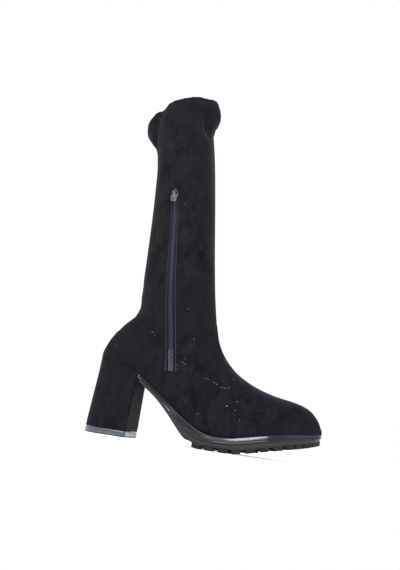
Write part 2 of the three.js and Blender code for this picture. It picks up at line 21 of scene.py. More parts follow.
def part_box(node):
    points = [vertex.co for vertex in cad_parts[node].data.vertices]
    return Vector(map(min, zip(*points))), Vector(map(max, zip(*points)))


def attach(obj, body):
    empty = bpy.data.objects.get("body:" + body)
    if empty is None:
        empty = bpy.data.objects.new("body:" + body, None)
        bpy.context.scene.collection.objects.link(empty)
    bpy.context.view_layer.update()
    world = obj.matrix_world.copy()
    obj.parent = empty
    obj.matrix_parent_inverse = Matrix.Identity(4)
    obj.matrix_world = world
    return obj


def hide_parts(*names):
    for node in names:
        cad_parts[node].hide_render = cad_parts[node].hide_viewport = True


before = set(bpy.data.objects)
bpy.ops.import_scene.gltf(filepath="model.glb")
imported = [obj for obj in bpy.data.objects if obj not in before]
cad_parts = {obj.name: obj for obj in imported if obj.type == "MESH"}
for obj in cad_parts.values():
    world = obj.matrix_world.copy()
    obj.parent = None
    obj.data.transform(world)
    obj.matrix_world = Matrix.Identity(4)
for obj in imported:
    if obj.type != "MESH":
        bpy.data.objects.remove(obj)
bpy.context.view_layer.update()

LOG = logging.getLogger("boot")
MM = 0.001
GAP = 0.3
SEED = 11
TURN = 2 * math.pi
END_STEP = 0.05
MEASURE_STEPS = 400
NORMAL_STEP = 0.02

Colour = tuple[float, float, float]
Pairs = tuple[tuple[float, float], ...]
Socket = bpy.types.NodeSocket
Material = bpy.types.Material
Mesh = bmesh.types.BMesh
Vert = bmesh.types.BMVert


class Side(Enum):
    """The two sides of the boot, each with the sign of its y."""

    MEDIAL = -1
    LATERAL = 1


class Body(Enum):
    """The bodies that pieces ride on."""

    BOOT = "boot"
    PULL = "pull"


# ---------------------------------------------------------------- curves and tables


class Curve:
    """A smooth curve through a table of points that never overshoots them."""

    def __init__(self, xs: Sequence[float], ys: Sequence[float]) -> None:
        """Works out the slope at each point, the harmonic mean of the slopes beside it.

        Args:
            xs: Places along the table, rising.
            ys: Values there.
        """
        self.xs, self.ys = tuple(xs), tuple(ys)
        slopes = [(d - c) / (b - a) for a, b, c, d in zip(xs, xs[1:], ys, ys[1:])]
        pairs = zip([slopes[0], *slopes], [*slopes, slopes[-1]])
        self.tangents = [0.0 if a * b <= 0 else 2 * a * b / (a + b) for a, b in pairs]

    def __call__(self, x: float) -> float:
        """Height of the curve.

        Args:
            x: Place along the table; past either end the end value holds.

        Returns:
            The value there.
        """
        xs, ys = self.xs, self.ys
        if x <= xs[0]:
            return ys[0]
        if x >= xs[-1]:
            return ys[-1]
        k = bisect.bisect_right(xs, x) - 1
        width = xs[k + 1] - xs[k]
        t = (x - xs[k]) / width
        start = t * (1 - t) ** 2 * width * self.tangents[k]
        end = t * t * (t - 1) * width * self.tangents[k + 1]
        return ys[k] + (ys[k + 1] - ys[k]) * t * t * (3 - 2 * t) + start + end


def curve(*points: tuple[float, float]) -> Curve:
    """A curve through pairs of numbers."""
    return Curve([p[0] for p in points], [p[1] for p in points])


def mix(a: float, b: float, t: float) -> float:
    """The number t of the way from a to b."""
    return a + (b - a) * t


def ease(low: float, high: float, x: float) -> float:
    """0 below low, 1 above high, smooth between."""
    t = min(max((x - low) / (high - low), 0.0), 1.0)
    return t * t * (3 - 2 * t)


class Section(NamedTuple):
    """A section of the upper, in a plane across the boot from its back or sole to its front.

    Its two ends are given in side view, and its reach to the inner and outer side and its middle line, the
    ridge, across the foot. It is widest at a share of the way from back to front, and low and high say how
    square it is behind and in front of there, where 2 is an ellipse. Ear is how far its back end leans to
    the outer side, and crease how deeply its inner wall is pinched.
    """

    back_x: float
    back_z: float
    front_x: float
    front_z: float
    medial: float
    lateral: float
    ridge: float = 0
    wide: float = 0.5
    low: float = 2.0
    high: float = 2.0
    ear: float = 0
    crease: float = 0


SECTIONS = (
    Section(218.9, 26.5, 220.0, 35.6, -16.6, -3.2, -9.8, 0.42, 3.4, 2.3),
    Section(215.0, 25.0, 216.9, 42.6, -22.6, 2.6, -9.8, 0.34, 3.8, 2.4),
    Section(205.0, 23.4, 206.6, 53.2, -30.2, 13.2, -9.2, 0.30, 4.4, 2.4),
    Section(190.0, 21.2, 192.0, 58.4, -36.8, 24.2, -8.0, 0.28, 4.5, 2.3),
    Section(172.0, 18.4, 174.2, 61.8, -41.2, 32.8, -6.6, 0.26, 4.5, 2.1),
    Section(154.0, 14.8, 157.0, 66.8, -44.6, 40.4, -5.6, 0.25, 4.5, 2.0),
    Section(136.0, 11.0, 141.2, 74.0, -45.4, 44.6, -4.6, 0.24, 4.5, 1.9),
    Section(117.0, 9.4, 127.6, 83.0, -43.8, 45.2, -3.6, 0.24, 4.5, 1.85),
    Section(97.0, 14.6, 118.4, 92.6, -39.6, 43.0, -2.6, 0.25, 4.3, 1.85),
    Section(76.0, 27.2, 112.6, 100.6, -34.6, 37.0, -1.6, 0.29, 4.0, 1.9),
    Section(54.0, 43.0, 108.6, 107.8, -32.0, 34.0, -0.8, 0.35, 3.7, 1.95),
    Section(30.0, 59.4, 105.4, 115.2, -31.0, 32.2, 0, 0.41, 3.4, 2.0),
    Section(5.0, 69.0, 102.8, 123.0, -30.8, 31.4, 0, 0.46, 3.2, 2.0),
    Section(-21.6, 76.0, 100.8, 130.8, -31.2, 31.6, 0, 0.49, 2.4, 2.0),
    Section(-21.2, 83.6, 99.2, 138.4, -31.8, 32.2, 0, 0.49, 2.2, 2.0),
    Section(-17.4, 96.0, 97.4, 147.6, -32.6, 33.0, 0, 0.50, 2.1, 2.0),
    Section(-6.6, 113.4, 95.4, 158.6, -33.6, 34.0),
    Section(6.6, 127.0, 93.4, 170.6, -34.6, 35.0),
    Section(10.6, 143.0, 91.0, 187.0, -35.4, 35.8),
    Section(9.4, 163.0, 88.0, 208.0, -36.2, 36.6),
    Section(7.4, 210.0, 82.6, 250.0, -37.4, 37.8),
    Section(4.6, 262.0, 77.2, 292.0, -38.4, 38.8),
    Section(0.8, 308.0, 72.2, 328.0, -39.2, 39.6),
    Section(-4.4, 344.0, 68.8, 350.0, -39.8, 40.4, 0, 0.50, 2.0, 2.0, 1, 0.02),
    Section(-9.4, 358.0, 65.8, 367.0, -39.8, 41.4, 0, 0.50, 2.0, 2.0, 3, 0.12),
    Section(-18.6, 372.0, 62.4, 385.0, -39.4, 43.0, 0, 0.50, 2.0, 2.0, 6, 0.26),
    Section(-23.6, 383.6, 60.6, 400.0, -39.0, 44.4, 0, 0.50, 2.1, 2.0, 9, 0.34),
    Section(-22.8, 392.4, 62.6, 412.0, -38.6, 44.8, 0, 0.50, 2.1, 2.1, 9, 0.32),
    Section(-20.0, 400.0, 61.0, 424.0, -37.6, 43.8, 0, 0.50, 2.1, 2.1, 8, 0.26),
)
COLLAR_ROW = float(len(SECTIONS) - 1)

SOLE_LINE = curve(
    (-40, 86.3), (-21, 80.8), (0, 75), (20, 69), (30, 64), (45, 54), (61, 42.5), (75, 32.3), (88, 23.8),
    (99, 18), (108, 15), (118, 13.8), (130, 14.6), (143, 17), (160, 20.8), (184, 25.2), (205, 28.2),
    (224, 30.8),
)
TREAD_LINE = curve(
    (20, 62.5), (31, 55.5), (45, 46.5), (55, 38.5), (65, 29), (75, 18.6), (83, 10.5), (90, 4.4), (97, 0.9),
    (103, 0), (131, 0), (142, 1.3), (151, 3.1), (160, 5.2), (170, 7.5), (180, 9.8), (190, 12.1),
    (200, 14.4), (210, 17), (217, 19.2), (224, 22),
)
ZIP_X = curve((66, 63.8), (70, 63), (112, 56), (145, 50.6), (192, 45), (229, 41.3), (280, 35.3))
ZIP_HALF = curve((66, 6.3), (112, 6.2), (145, 6), (192, 5.6), (229, 5.2), (280, 4.8))
LUG_HEIGHT = 3.6


def base_line(x: float) -> float:
    """Height of the sole's underside between the lugs, at x along the foot."""
    return TREAD_LINE(x) + LUG_HEIGHT * ease(84, 94, x)


# ---------------------------------------------------------------- the last: the upper's own surface


@dataclass(frozen=True)
class Fold:
    """A soft trough or ridge in the upper, along a line in side view.

    Attributes:
        side: The side of the boot that it is on.
        start: One end of its line, along the foot and up.
        end: The other end.
        width: How far it reaches to each side of its line.
        depth: How deep it is, below zero for a ridge.
    """

    side: Side
    start: tuple[float, float]
    end: tuple[float, float]
    width: float
    depth: float

    def at(self, point: Vector) -> float:
        """How far this fold pushes a surface point into the boot.

        Args:
            point: The surface point.

        Returns:
            The push, below zero for a ridge.
        """
        far = 3 * self.width + 1
        other_side = point.y * self.side.value < 0
        if other_side or not self._near(point.x, 0, far) or not self._near(point.z, 1, far):
            return 0.0
        start = Vector((self.start[0], 0, self.start[1]))
        along = Vector((self.end[0], 0, self.end[1])) - start
        flat = Vector((point.x, 0, point.z))
        t = min(max((flat - start).dot(along) / along.length_squared, 0.0), 1.0)
        away = (flat - start - along * t).length / self.width
        tips = math.sin(math.pi * min(max(t, 0.04), 0.96)) ** 0.5 * ease(0, 5, abs(point.y))
        return self.depth * math.exp(-away * away) * tips

    def _near(self, value: float, axis: int, far: float) -> bool:
        """Whether a value lies within a distance of the fold's span on one axis."""
        low, high = sorted((self.start[axis], self.end[axis]))
        return low - far < value < high + far


class Place(NamedTuple):
    """A place on the upper: its row among the sections, and its angle round from the back."""

    row: float
    turn: float


class Last:
    """The upper's outer surface, as a function of row and angle."""

    BACK_CREASE = 0.2
    FRONT_CREASE = 0.9
    CREASE_WIDTH = 0.1
    FRONT_SHARE = 0.6
    NOSE_CENTRE = 0.45
    SLUMP = 6.5
    SLUMP_ROW = 24.0
    ROLL = curve((24.8, 0), (26, 4.4), (26.9, 5.8), (28, 3.0))
    RISE = curve((26, 0), (28, 3.0))
    EAR = curve((24.6, 0), (25.6, 2.6), (26.6, 3.2), (28, 0.6))
    NOSE_BULGE = 1.3

    def __init__(self, rows: Sequence[Section], folds: Sequence[Fold]) -> None:
        """Makes one curve for each column of the table.

        Args:
            rows: The sections from toe to collar.
            folds: The soft folds to press into the surface.
        """
        numbers = tuple(float(k) for k in range(len(rows)))
        self.columns = {
            name: Curve(numbers, tuple(getattr(row, name) for row in rows)) for name in Section._fields
        }
        self.folds = folds
        self._rows: dict[tuple[float, float], tuple[Section, Vector, Vector]] = {}

    def _end(self, row: float, which: str, turn: int, inset: float) -> Vector:
        """One end of a section, in side view.

        Args:
            row: Place among the sections.
            which: "back" or "front".
            turn: 1 at the back and -1 at the front.
            inset: How far it is moved into the boot.

        Returns:
            Its place along the foot and up.
        """
        x, z = self.columns[which + "_x"], self.columns[which + "_z"]
        if not inset:
            return Vector((x(row), z(row)))
        low, high = max(row - END_STEP, 0), min(row + END_STEP, COLLAR_ROW)
        along = Vector((x(high) - x(low), z(high) - z(low))).normalized()
        return Vector((x(row), z(row))) + Vector((along.y, -along.x)) * turn * inset

    def section(self, row: float, inset: float) -> tuple[Section, Vector, Vector]:
        """The section at a row.

        Args:
            row: Place among the sections.
            inset: How far inside the outer surface.

        Returns:
            The section's numbers, its back end and its front end.
        """
        key = (round(row, 6), inset)
        if key not in self._rows:
            values = Section(*(self.columns[name](row) for name in Section._fields))
            self._rows[key] = (values, self._end(row, "back", 1, inset), self._end(row, "front", -1, inset))
        return self._rows[key]

    def base_point(self, row: float, turn: float, inset: float = 0.0) -> Vector:
        """A point of the plain surface, before its folds.

        Args:
            row: Place among the sections, below zero over the nose.
            turn: Angle round from the back, over the inner side.
            inset: How far inside the outer surface.

        Returns:
            The point in millimetres.
        """
        nose = max(-row, 0.0)
        values, back, front = self.section(max(row, 0.0), inset)
        side = Side.MEDIAL if math.sin(turn) >= 0 else Side.LATERAL
        across = -math.cos(turn)
        power = 2 / (values.low if across < 0 else values.high)
        reach = abs(across) ** power
        along = values.wide * (1 - reach) if across < 0 else mix(values.wide, 1, reach)
        edge = values.medial if side is Side.MEDIAL else values.lateral
        half = edge - values.ridge
        width = (half - math.copysign(inset, half)) * abs(math.sin(turn)) ** power
        if side is Side.MEDIAL:
            width *= self._pinch(along, values.crease)
        place = back.lerp(front, along)
        point = Vector((place.x, values.ridge + values.ear * (1 - along) ** 3 + width, place.y))
        if nose:
            middle = back.lerp(front, self.NOSE_CENTRE)
            centre = Vector((middle.x, values.ridge, middle.y))
            point = centre + (point - centre) * math.cos(nose * math.pi / 2)
            point.x += self.NOSE_BULGE * math.sin(nose * math.pi / 2)
        return point

    def _pinch(self, along: float, depth: float) -> float:
        """Share of the width that is left where the inner wall is pinched beside the ears.

        Args:
            along: Share of the way from the back to the front.
            depth: How deep the pinch is.

        Returns:
            The share, 1 where nothing is pinched.
        """
        back = math.exp(-(((along - self.BACK_CREASE) / self.CREASE_WIDTH) ** 2))
        front = math.exp(-(((along - self.FRONT_CREASE) / self.CREASE_WIDTH) ** 2))
        return 1 - depth * (back + self.FRONT_SHARE * front)

    def normal(self, row: float, turn: float) -> Vector:
        """The outward direction at a place on the surface.

        Args:
            row: Place among the sections.
            turn: Angle round from the back.

        Returns:
            The direction, of length 1.
        """
        step = NORMAL_STEP
        row = min(max(row, step), COLLAR_ROW - step)
        up = self.base_point(row + step, turn) - self.base_point(row - step, turn)
        round_ = self.base_point(row, turn + step) - self.base_point(row, turn - step)
        return round_.cross(up).normalized()

    def point(self, row: float, turn: float, out: float = 0.0) -> Vector:
        """A point of the finished surface.

        Args:
            row: Place among the sections.
            turn: Angle round from the back, over the inner side.
            out: How far outside the surface.

        Returns:
            The point in millimetres.
        """
        point = self.base_point(row, turn)
        push = out - sum(fold.at(point) for fold in self.folds)
        if push:
            point = point + self.normal(row, turn) * push
        if row > self.SLUMP_ROW:
            front = max(-math.cos(turn), 0.0) ** 2
            point.x += self.ROLL(row) * front
            point.x -= self.EAR(row) * max(math.cos(turn), 0.0) ** 2
            point.z += self.RISE(row) * front
            point.z -= self.SLUMP * max(math.sin(turn), 0.0) ** 2 * ease(self.SLUMP_ROW, COLLAR_ROW, row)
        return point

    def place(self, x: float, z: float, side: Side) -> Place:
        """The place on one side of the boot that shows at a point in side view.

        Args:
            x: Distance along the foot.
            z: Height.
            side: Which side of the boot.

        Returns:
            Its row and angle.
        """
        low, high = 0.0, COLLAR_ROW
        for _ in range(26):
            row = (low + high) / 2
            back, front = self._end(row, "back", 1, 0.0), self._end(row, "front", -1, 0.0)
            if (front.x - back.x) * (z - back.y) - (front.y - back.y) * (x - back.x) > 0:
                low = row
            else:
                high = row
        values, back, front = self.section(round(row, 4), 0.0)
        line = front - back
        along = min(max((Vector((x, z)) - back).dot(line) / line.length_squared, 0.0), 1.0)
        if along < values.wide:
            across = -(((values.wide - along) / values.wide) ** (values.low / 2))
        else:
            across = ((along - values.wide) / (1 - values.wide)) ** (values.high / 2)
        turn = math.acos(-across)
        return Place(row, turn if side is Side.MEDIAL else TURN - turn)

    def line(self, places: Iterable[Place], out: float = 0.0) -> tuple[list[Vector], list[Vector]]:
        """The surface points along a line, moved out, and the outward directions there."""
        spots = list(places)
        return [self.point(*spot, out) for spot in spots], [self.normal(*spot) for spot in spots]

    def on_side(self, x: float, z: float, side: Side, out: float = 0.0) -> Vector:
        """The surface point that shows at x and z in side view."""
        return self.point(*self.place(x, z, side), out)


# ---------------------------------------------------------------- meshes


class Outline(NamedTuple):
    """A point of the foot's outline from above, the direction inwards, and the axis point it belongs to."""

    point: Vector
    inward: Vector
    axis_x: float


def grid_mesh(
    columns: int,
    rows: int,
    place: Callable[[float, float], Vector],
    skip: Callable[[float, float], bool] | None = None,
    second_from: float = math.inf,
) -> Mesh:
    """A sheet of quads whose points are moved to where a rule puts them.

    Args:
        columns: Faces across.
        rows: Faces up.
        place: Gives the point for shares u and v of the way across and up.
        skip: Says which faces are left out, from the column and row of their middles.
        second_from: Row from which faces take the second material.

    Returns:
        The mesh.
    """
    mesh = bmesh.new()
    bmesh.ops.create_grid(mesh, x_segments=columns, y_segments=rows, size=0.5)
    left_out = []
    for face in mesh.faces:
        middle = face.calc_center_median()
        column, row = (middle.x + 0.5) * columns, (middle.y + 0.5) * rows
        face.material_index = 1 if row > second_from else 0
        if skip and skip(column, row):
            left_out.append(face)
    bmesh.ops.delete(mesh, geom=left_out, context="FACES")
    for vert in mesh.verts:
        vert.co = place(vert.co.x + 0.5, vert.co.y + 0.5)
    return mesh


def merged(mesh: Mesh, distance: float = 0.001) -> Mesh:
    """Joins doubled points, drops faces that shrank to nothing, and turns the normals outwards.

    Args:
        mesh: The mesh, which is changed.
        distance: How close two points have to be to count as one.

    Returns:
        The same mesh.
    """
    bmesh.ops.remove_doubles(mesh, verts=mesh.verts, dist=distance)
    bmesh.ops.dissolve_degenerate(mesh, edges=mesh.edges, dist=distance)
    bmesh.ops.recalc_face_normals(mesh, faces=mesh.faces)
    return mesh


def loft_levels(mesh: Mesh, levels: Sequence[Sequence[Vector]]) -> None:
    """Adds a closed skin through rings of points, capped at both ends.

    Args:
        mesh: The mesh to add to.
        levels: Rings with the same number of points, from one end to the other.
    """
    made = bmesh.ops.create_circle(mesh, cap_ends=True, segments=len(levels[0]), radius=1)
    ring = made["verts"]
    for vert, place in zip(ring, levels[0]):
        vert.co = place
    edges = [edge for edge in mesh.edges if edge.verts[0] in set(ring) and edge.verts[1] in set(ring)]
    for level in levels[1:]:
        grown = bmesh.ops.extrude_edge_only(mesh, edges=edges)["geom"]
        fresh = [item for item in grown if isinstance(item, Vert)]
        edges = [item for item in grown if isinstance(item, bmesh.types.BMEdge)]
        edges = [edge for edge in edges if edge.verts[0] in set(fresh) and edge.verts[1] in set(fresh)]
        ring = _matched(ring, fresh)
        for vert, place in zip(ring, level):
            vert.co = place
    bmesh.ops.contextual_create(mesh, geom=edges)


def _matched(ring: Sequence[Vert], fresh: Iterable[Vert]) -> list[Vert]:
    """The new points of an extrusion in the order of the ring they came from."""
    new = set(fresh)
    return [next(e.other_vert(v) for e in v.link_edges if e.other_vert(v) in new) for v in ring]


class Bars:
    """Many small bars with round ends, such as stitches, gathered into one mesh."""

    def __init__(self, sides: int = 6) -> None:
        """Makes the pattern that each bar is stretched from.

        Args:
            sides: Faces round a bar.
        """
        ball = bmesh.new()
        bmesh.ops.create_uvsphere(ball, u_segments=sides, v_segments=6, radius=1)
        self.shape = [vert.co.copy() for vert in ball.verts]
        self.pattern = bpy.data.meshes.new("bar")
        ball.to_mesh(self.pattern)
        ball.free()
        self.mesh = bmesh.new()

    def add(self, start: Vector, end: Vector, radius: float, finish: int = 0) -> None:
        """Adds a bar between two points.

        Args:
            start: One end.
            end: The other end.
            radius: Half its thickness.
            finish: Number of its material.
        """
        along = end - start
        reach = max(along.length / 2 - radius, 0.0)
        turn = along.to_track_quat("Z", "Y")
        middle = (start + end) / 2
        for vert, shape in zip(self.pattern.vertices, self.shape):
            stretch = math.copysign(reach, shape.z) if abs(shape.z) > 1e-5 else 0.0
            vert.co = middle + turn @ Vector((shape.x * radius, shape.y * radius, shape.z * radius + stretch))
        for face in self.pattern.polygons:
            face.material_index = finish
        self.mesh.from_mesh(self.pattern, face_normals=False, vertex_normals=False)


def block(mesh: Mesh, size: Sequence[float], centre: Sequence[float], bevel: float) -> None:
    """Adds a block with rounded edges.

    Args:
        mesh: The mesh to add to.
        size: Its three sides.
        centre: Its middle.
        bevel: Radius of its edges.
    """
    made = bmesh.ops.create_cube(mesh, size=1)["verts"]
    bmesh.ops.scale(mesh, vec=size, verts=made)
    bmesh.ops.translate(mesh, vec=centre, verts=made)
    edges = list({edge for vert in made for edge in vert.link_edges})
    bmesh.ops.bevel(mesh, geom=edges, offset=bevel, segments=3, profile=0.5, affect="EDGES", material=-1)


def prism(mesh: Mesh, outline: Sequence[Vector], rise: Callable[[Vector], Vector], bevel: float) -> None:
    """Adds an outline drawn out into a solid with rounded far edges.

    Args:
        mesh: The mesh to add to.
        outline: The points of its near face, in order.
        rise: Where a point of the near face lies on the far face.
        bevel: Radius of the far face's edges.
    """
    face = mesh.faces.new([mesh.verts.new(point) for point in outline])
    grown = bmesh.ops.extrude_face_region(mesh, geom=[face], use_keep_orig=True)["geom"]
    far = [item for item in grown if isinstance(item, Vert)]
    for vert in far:
        vert.co = rise(vert.co)
    top = next(item for item in grown if isinstance(item, bmesh.types.BMFace))
    if bevel:
        bmesh.ops.bevel(
            mesh, geom=list(top.edges), offset=bevel, segments=2, profile=0.5, affect="EDGES", material=-1
        )


def spun(
    mesh: Mesh, profile: Sequence[Vector], centre: Vector, axis: Sequence[float], steps: int
) -> None:
    """Adds a ring spun from a closed profile.

    Args:
        mesh: The mesh to add to.
        profile: The points of its section, in order.
        centre: A point of the axis.
        axis: Direction of the axis.
        steps: Sections round it.
    """
    verts = [mesh.verts.new(point) for point in profile]
    edges = [mesh.edges.new(pair) for pair in zip(verts, [*verts[1:], verts[0]])]
    bmesh.ops.spin(
        mesh, geom=[*verts, *edges], cent=centre, axis=axis, dvec=(0, 0, 0), angle=TURN,
        steps=steps, use_merge=True,
    )


def thread_path(points: Sequence[Vector], spacing: float) -> list[Vector]:
    """Points at even spacing along a line through others.

    Args:
        points: The line's own points, already close together.
        spacing: Distance between the new ones.

    Returns:
        The evenly spaced points.
    """
    found, left = [points[0].copy()], spacing
    for here, there in zip(points, points[1:]):
        length = (there - here).length
        gone = 0.0
        while length - gone >= left:
            gone += left
            found.append(here.lerp(there, gone / length))
            left = spacing
        left -= length - gone
    return found


class Piece:
    """A finished piece: its mesh in millimetres made an object in metres, dressed and placed on a body."""

    def __init__(self, name: str, mesh: Mesh, *finishes: Material, smooth: float = 38) -> None:
        """Makes the object.

        Args:
            name: Name of the piece.
            mesh: Its mesh in millimetres, which is used up.
            finishes: Its materials, in the order of the faces' numbers.
            smooth: Angle in degrees over which an edge stays sharp.
        """
        bmesh.ops.scale(mesh, vec=(MM, MM, MM), verts=mesh.verts)
        for face in mesh.faces:
            face.smooth = True
        for edge in mesh.edges:
            edge.smooth = edge.calc_face_angle(0.0) < math.radians(smooth)
        data = bpy.data.meshes.new(name)
        mesh.to_mesh(data)
        mesh.free()
        self.object = bpy.data.objects.new(name, data)
        bpy.context.scene.collection.objects.link(self.object)
        for finish in finishes:
            data.materials.append(finish)

    def ride(self, slot: str, *replaces: str, body: Body = Body.BOOT) -> None:
        """Puts the piece on a body.

        Args:
            slot: Name of a finish; not used.
            replaces: CAD nodes that it stands for.
            body: The body it moves with.
        """
        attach(self.object, body.value)
        if replaces:
            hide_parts(*replaces)
        LOG.info("%s: %d faces", self.object.name, len(self.object.data.polygons))


# ---------------------------------------------------------------- finishes


class Recipe:
    """The node tree of one material, with short calls for its usual nodes."""

    def __init__(self, name: str, **shader: object) -> None:
        """Starts a material.

        Args:
            name: Its name.
            shader: Fixed values for the shader's sockets, with spaces written as underscores.
        """
        self.material = bpy.data.materials.new(name)
        self.material.use_nodes = True
        self.tree = self.material.node_tree
        self.shader = self.tree.nodes["Principled BSDF"]
        for key, value in shader.items():
            self.shader.inputs[key.replace("_", " ")].default_value = value
        self.coords = self.tree.nodes.new("ShaderNodeTexCoord").outputs["Object"]

    def _node(
        self, kind: str, output: str | int, inputs: dict[str | int, object], **settings: str
    ) -> Socket:
        """Adds a node.

        Args:
            kind: Its type, without the prefix that all share.
            output: Name or number of its result.
            inputs: What goes into each of its inputs: a socket, which is linked, or a fixed value.
            settings: Its own settings.

        Returns:
            The result.
        """
        node = self.tree.nodes.new("ShaderNode" + kind)
        for key, value in settings.items():
            setattr(node, key, value)
        for key, value in inputs.items():
            if isinstance(value, Socket):
                self.tree.links.new(value, node.inputs[key])
            else:
                node.inputs[key].default_value = value
        return node.outputs[output]

    def mapping(self, scale: Sequence[float], turn: Sequence[float] = (0, 0, 0)) -> Socket:
        """Object coordinates, scaled along each axis and turned by degrees about each."""
        angles = [math.radians(angle) for angle in turn]
        return self._node("Mapping", "Vector", {"Vector": self.coords, "Scale": scale, "Rotation": angles})

    def noise(
        self, coords: Socket, scale: float, detail: float = 3, rough: float = 0.55, distort: float = 0.0
    ) -> Socket:
        """A noise pattern: waves in a metre, number and strength of finer layers, and how far it swirls."""
        inputs = {"Vector": coords, "Scale": scale, "Detail": detail, "Roughness": rough}
        return self._node("TexNoise", "Fac", {**inputs, "Distortion": distort})

    def wave(self, coords: Socket, scale: float, axis: str, distort: float = 0.0) -> Socket:
        """A pattern of even bands across an axis, and how far they waver."""
        inputs = {"Vector": coords, "Scale": scale, "Distortion": distort}
        return self._node("TexWave", "Fac", inputs, bands_direction=axis)

    def ramp(self, value: Socket, *stops: tuple[float, Colour]) -> Socket:
        """Colours for a value.

        Args:
            value: The value.
            stops: Places along the ramp and their colours.

        Returns:
            The colour.
        """
        colour = self._node("ValToRGB", "Color", {"Fac": value})
        elements = colour.node.color_ramp.elements
        while len(elements) < len(stops):
            elements.new(0.5)
        for element, (place, shade) in zip(elements, stops):
            element.position = place
            element.color = (*shade, 1)
        return colour

    def span(self, value: Socket, low: float, high: float, start: float = 0.0, end: float = 1.0) -> Socket:
        """A value moved from the range start to end onto the range low to high."""
        inputs = {"Value": value, "From Min": start, "From Max": end, "To Min": low, "To Max": high}
        return self._node("MapRange", "Result", inputs)

    def math(self, operation: str, first: Socket, second: Socket | float) -> Socket:
        """One sum of two values."""
        return self._node("Math", "Value", {0: first, 1: second}, operation=operation)

    def blend(self, factor: Socket, first: Colour, second: Colour) -> Socket:
        """Two colours mixed, the first where the factor is 0 and the second where it is 1."""
        return self._node("Mix", 2, {"Factor": factor, 6: (*first, 1), 7: (*second, 1)}, data_type="RGBA")

    def bump(self, height: Socket, depth: float, under: Socket | None = None) -> Socket:
        """A normal from a height of 0 to depth metres, over another normal if one is given."""
        inputs = {"Height": height, "Distance": depth}
        return self._node("Bump", "Normal", inputs if under is None else {**inputs, "Normal": under})

    def feed(self, **sockets: Socket) -> Material:
        """Links sockets to the shader.

        Args:
            sockets: What feeds each of the shader's sockets, with spaces written as underscores.

        Returns:
            The material.
        """
        for key, socket in sockets.items():
            self.tree.links.new(socket, self.shader.inputs[key.replace("_", " ")])
        return self.material


@dataclass(frozen=True)
class Suede:
    """Short-napped black faux suede, with crushed patches and brushed streaks."""

    name: str = "suede"
    deep: Colour = (0.0022, 0.0025, 0.0030)
    plain: Colour = (0.0046, 0.0052, 0.0064)
    raised: Colour = (0.0092, 0.0101, 0.0120)
    patch_size: float = 0.017
    grain_size: float = 0.0007
    lean: float = 38

    def build(self) -> Material:
        """Makes the material.

        Returns:
            The material.
        """
        mix_in = Recipe(
            self.name, Roughness=0.92, Specular_IOR_Level=0.07, Sheen_Weight=0.04, Sheen_Roughness=0.38,
            Sheen_Tint=(0.62, 0.67, 0.78, 1),
        )
        straight = mix_in.mapping((1, 1, 1))
        slanted = mix_in.mapping((1.5, 1.0, 0.75), (0, self.lean, 0))
        patches = mix_in.noise(slanted, 1 / self.patch_size, 4, 0.65, 0.35)
        streaks = mix_in.noise(mix_in.mapping((1, 1, 0.4), (0, -34, 0)), 260, 3, 0.6, 0.4)
        grain = mix_in.noise(straight, 1 / self.grain_size, 2, 0.7)
        clouds = mix_in.noise(straight, 330, 4, 0.7)
        where = mix_in.span(mix_in.noise(straight, 11, 2, 0.5), 0.15, 1.0, 0.42, 0.6)
        crushed = mix_in.math("MULTIPLY", mix_in.span(patches, -0.42, 0.1, 0.36, 0.56), where)
        tone = mix_in.math("ADD", mix_in.math("ADD", crushed, 0.45), mix_in.span(clouds, -0.3, 0.34))
        tone = mix_in.math("ADD", tone, mix_in.span(streaks, -0.04, 0.08))
        tone = mix_in.math("ADD", tone, mix_in.span(grain, -0.14, 0.20))
        colour = mix_in.ramp(tone, (0.05, self.deep), (0.42, self.plain), (0.95, self.raised))
        relief = mix_in.bump(grain, 0.0002)
        relief = mix_in.bump(clouds, 0.00014, relief)
        rough = mix_in.span(patches, 0.97, 0.8, 0.3, 0.7)
        return mix_in.feed(Base_Color=colour, Roughness=rough, Normal=relief)


@dataclass(frozen=True)
class Rubber:
    """Moulded rubber: glossy or dull, with handling scuffs and dust."""

    name: str
    base: Colour
    worn: Colour
    roughness: float
    coat: float = 0.0
    grain: float = 0.00006
    scuff: float = 0.5
    specular: float = 0.3

    def build(self) -> Material:
        """Makes the material.

        Returns:
            The material.
        """
        mix_in = Recipe(
            self.name, Coat_Weight=self.coat, Coat_Roughness=0.09, Specular_IOR_Level=self.specular
        )
        straight = mix_in.mapping((1, 1, 1))
        along = mix_in.mapping((0.35, 1.3, 2.2), (0, 8, 0))
        scuffs = mix_in.noise(along, 190, 4, 0.65, 0.3)
        blotch = mix_in.noise(straight, 42, 3, 0.6)
        grain = mix_in.noise(straight, 1500, 2, 0.6)
        rubbed = mix_in.span(scuffs, 0, 1, 0.5, 0.72)
        wear = mix_in.math("MULTIPLY", rubbed, mix_in.span(blotch, 0.2, 1, 0.35, 0.7))
        wear = mix_in.math("MULTIPLY", wear, self.scuff)
        colour = mix_in.blend(wear, self.base, self.worn)
        shine = mix_in.math("ADD", mix_in.span(blotch, self.roughness - 0.05, self.roughness + 0.07), wear)
        relief = mix_in.bump(grain, self.grain)
        relief = mix_in.bump(blotch, self.grain * 5, relief)
        return mix_in.feed(Base_Color=colour, Roughness=shine, Normal=relief)


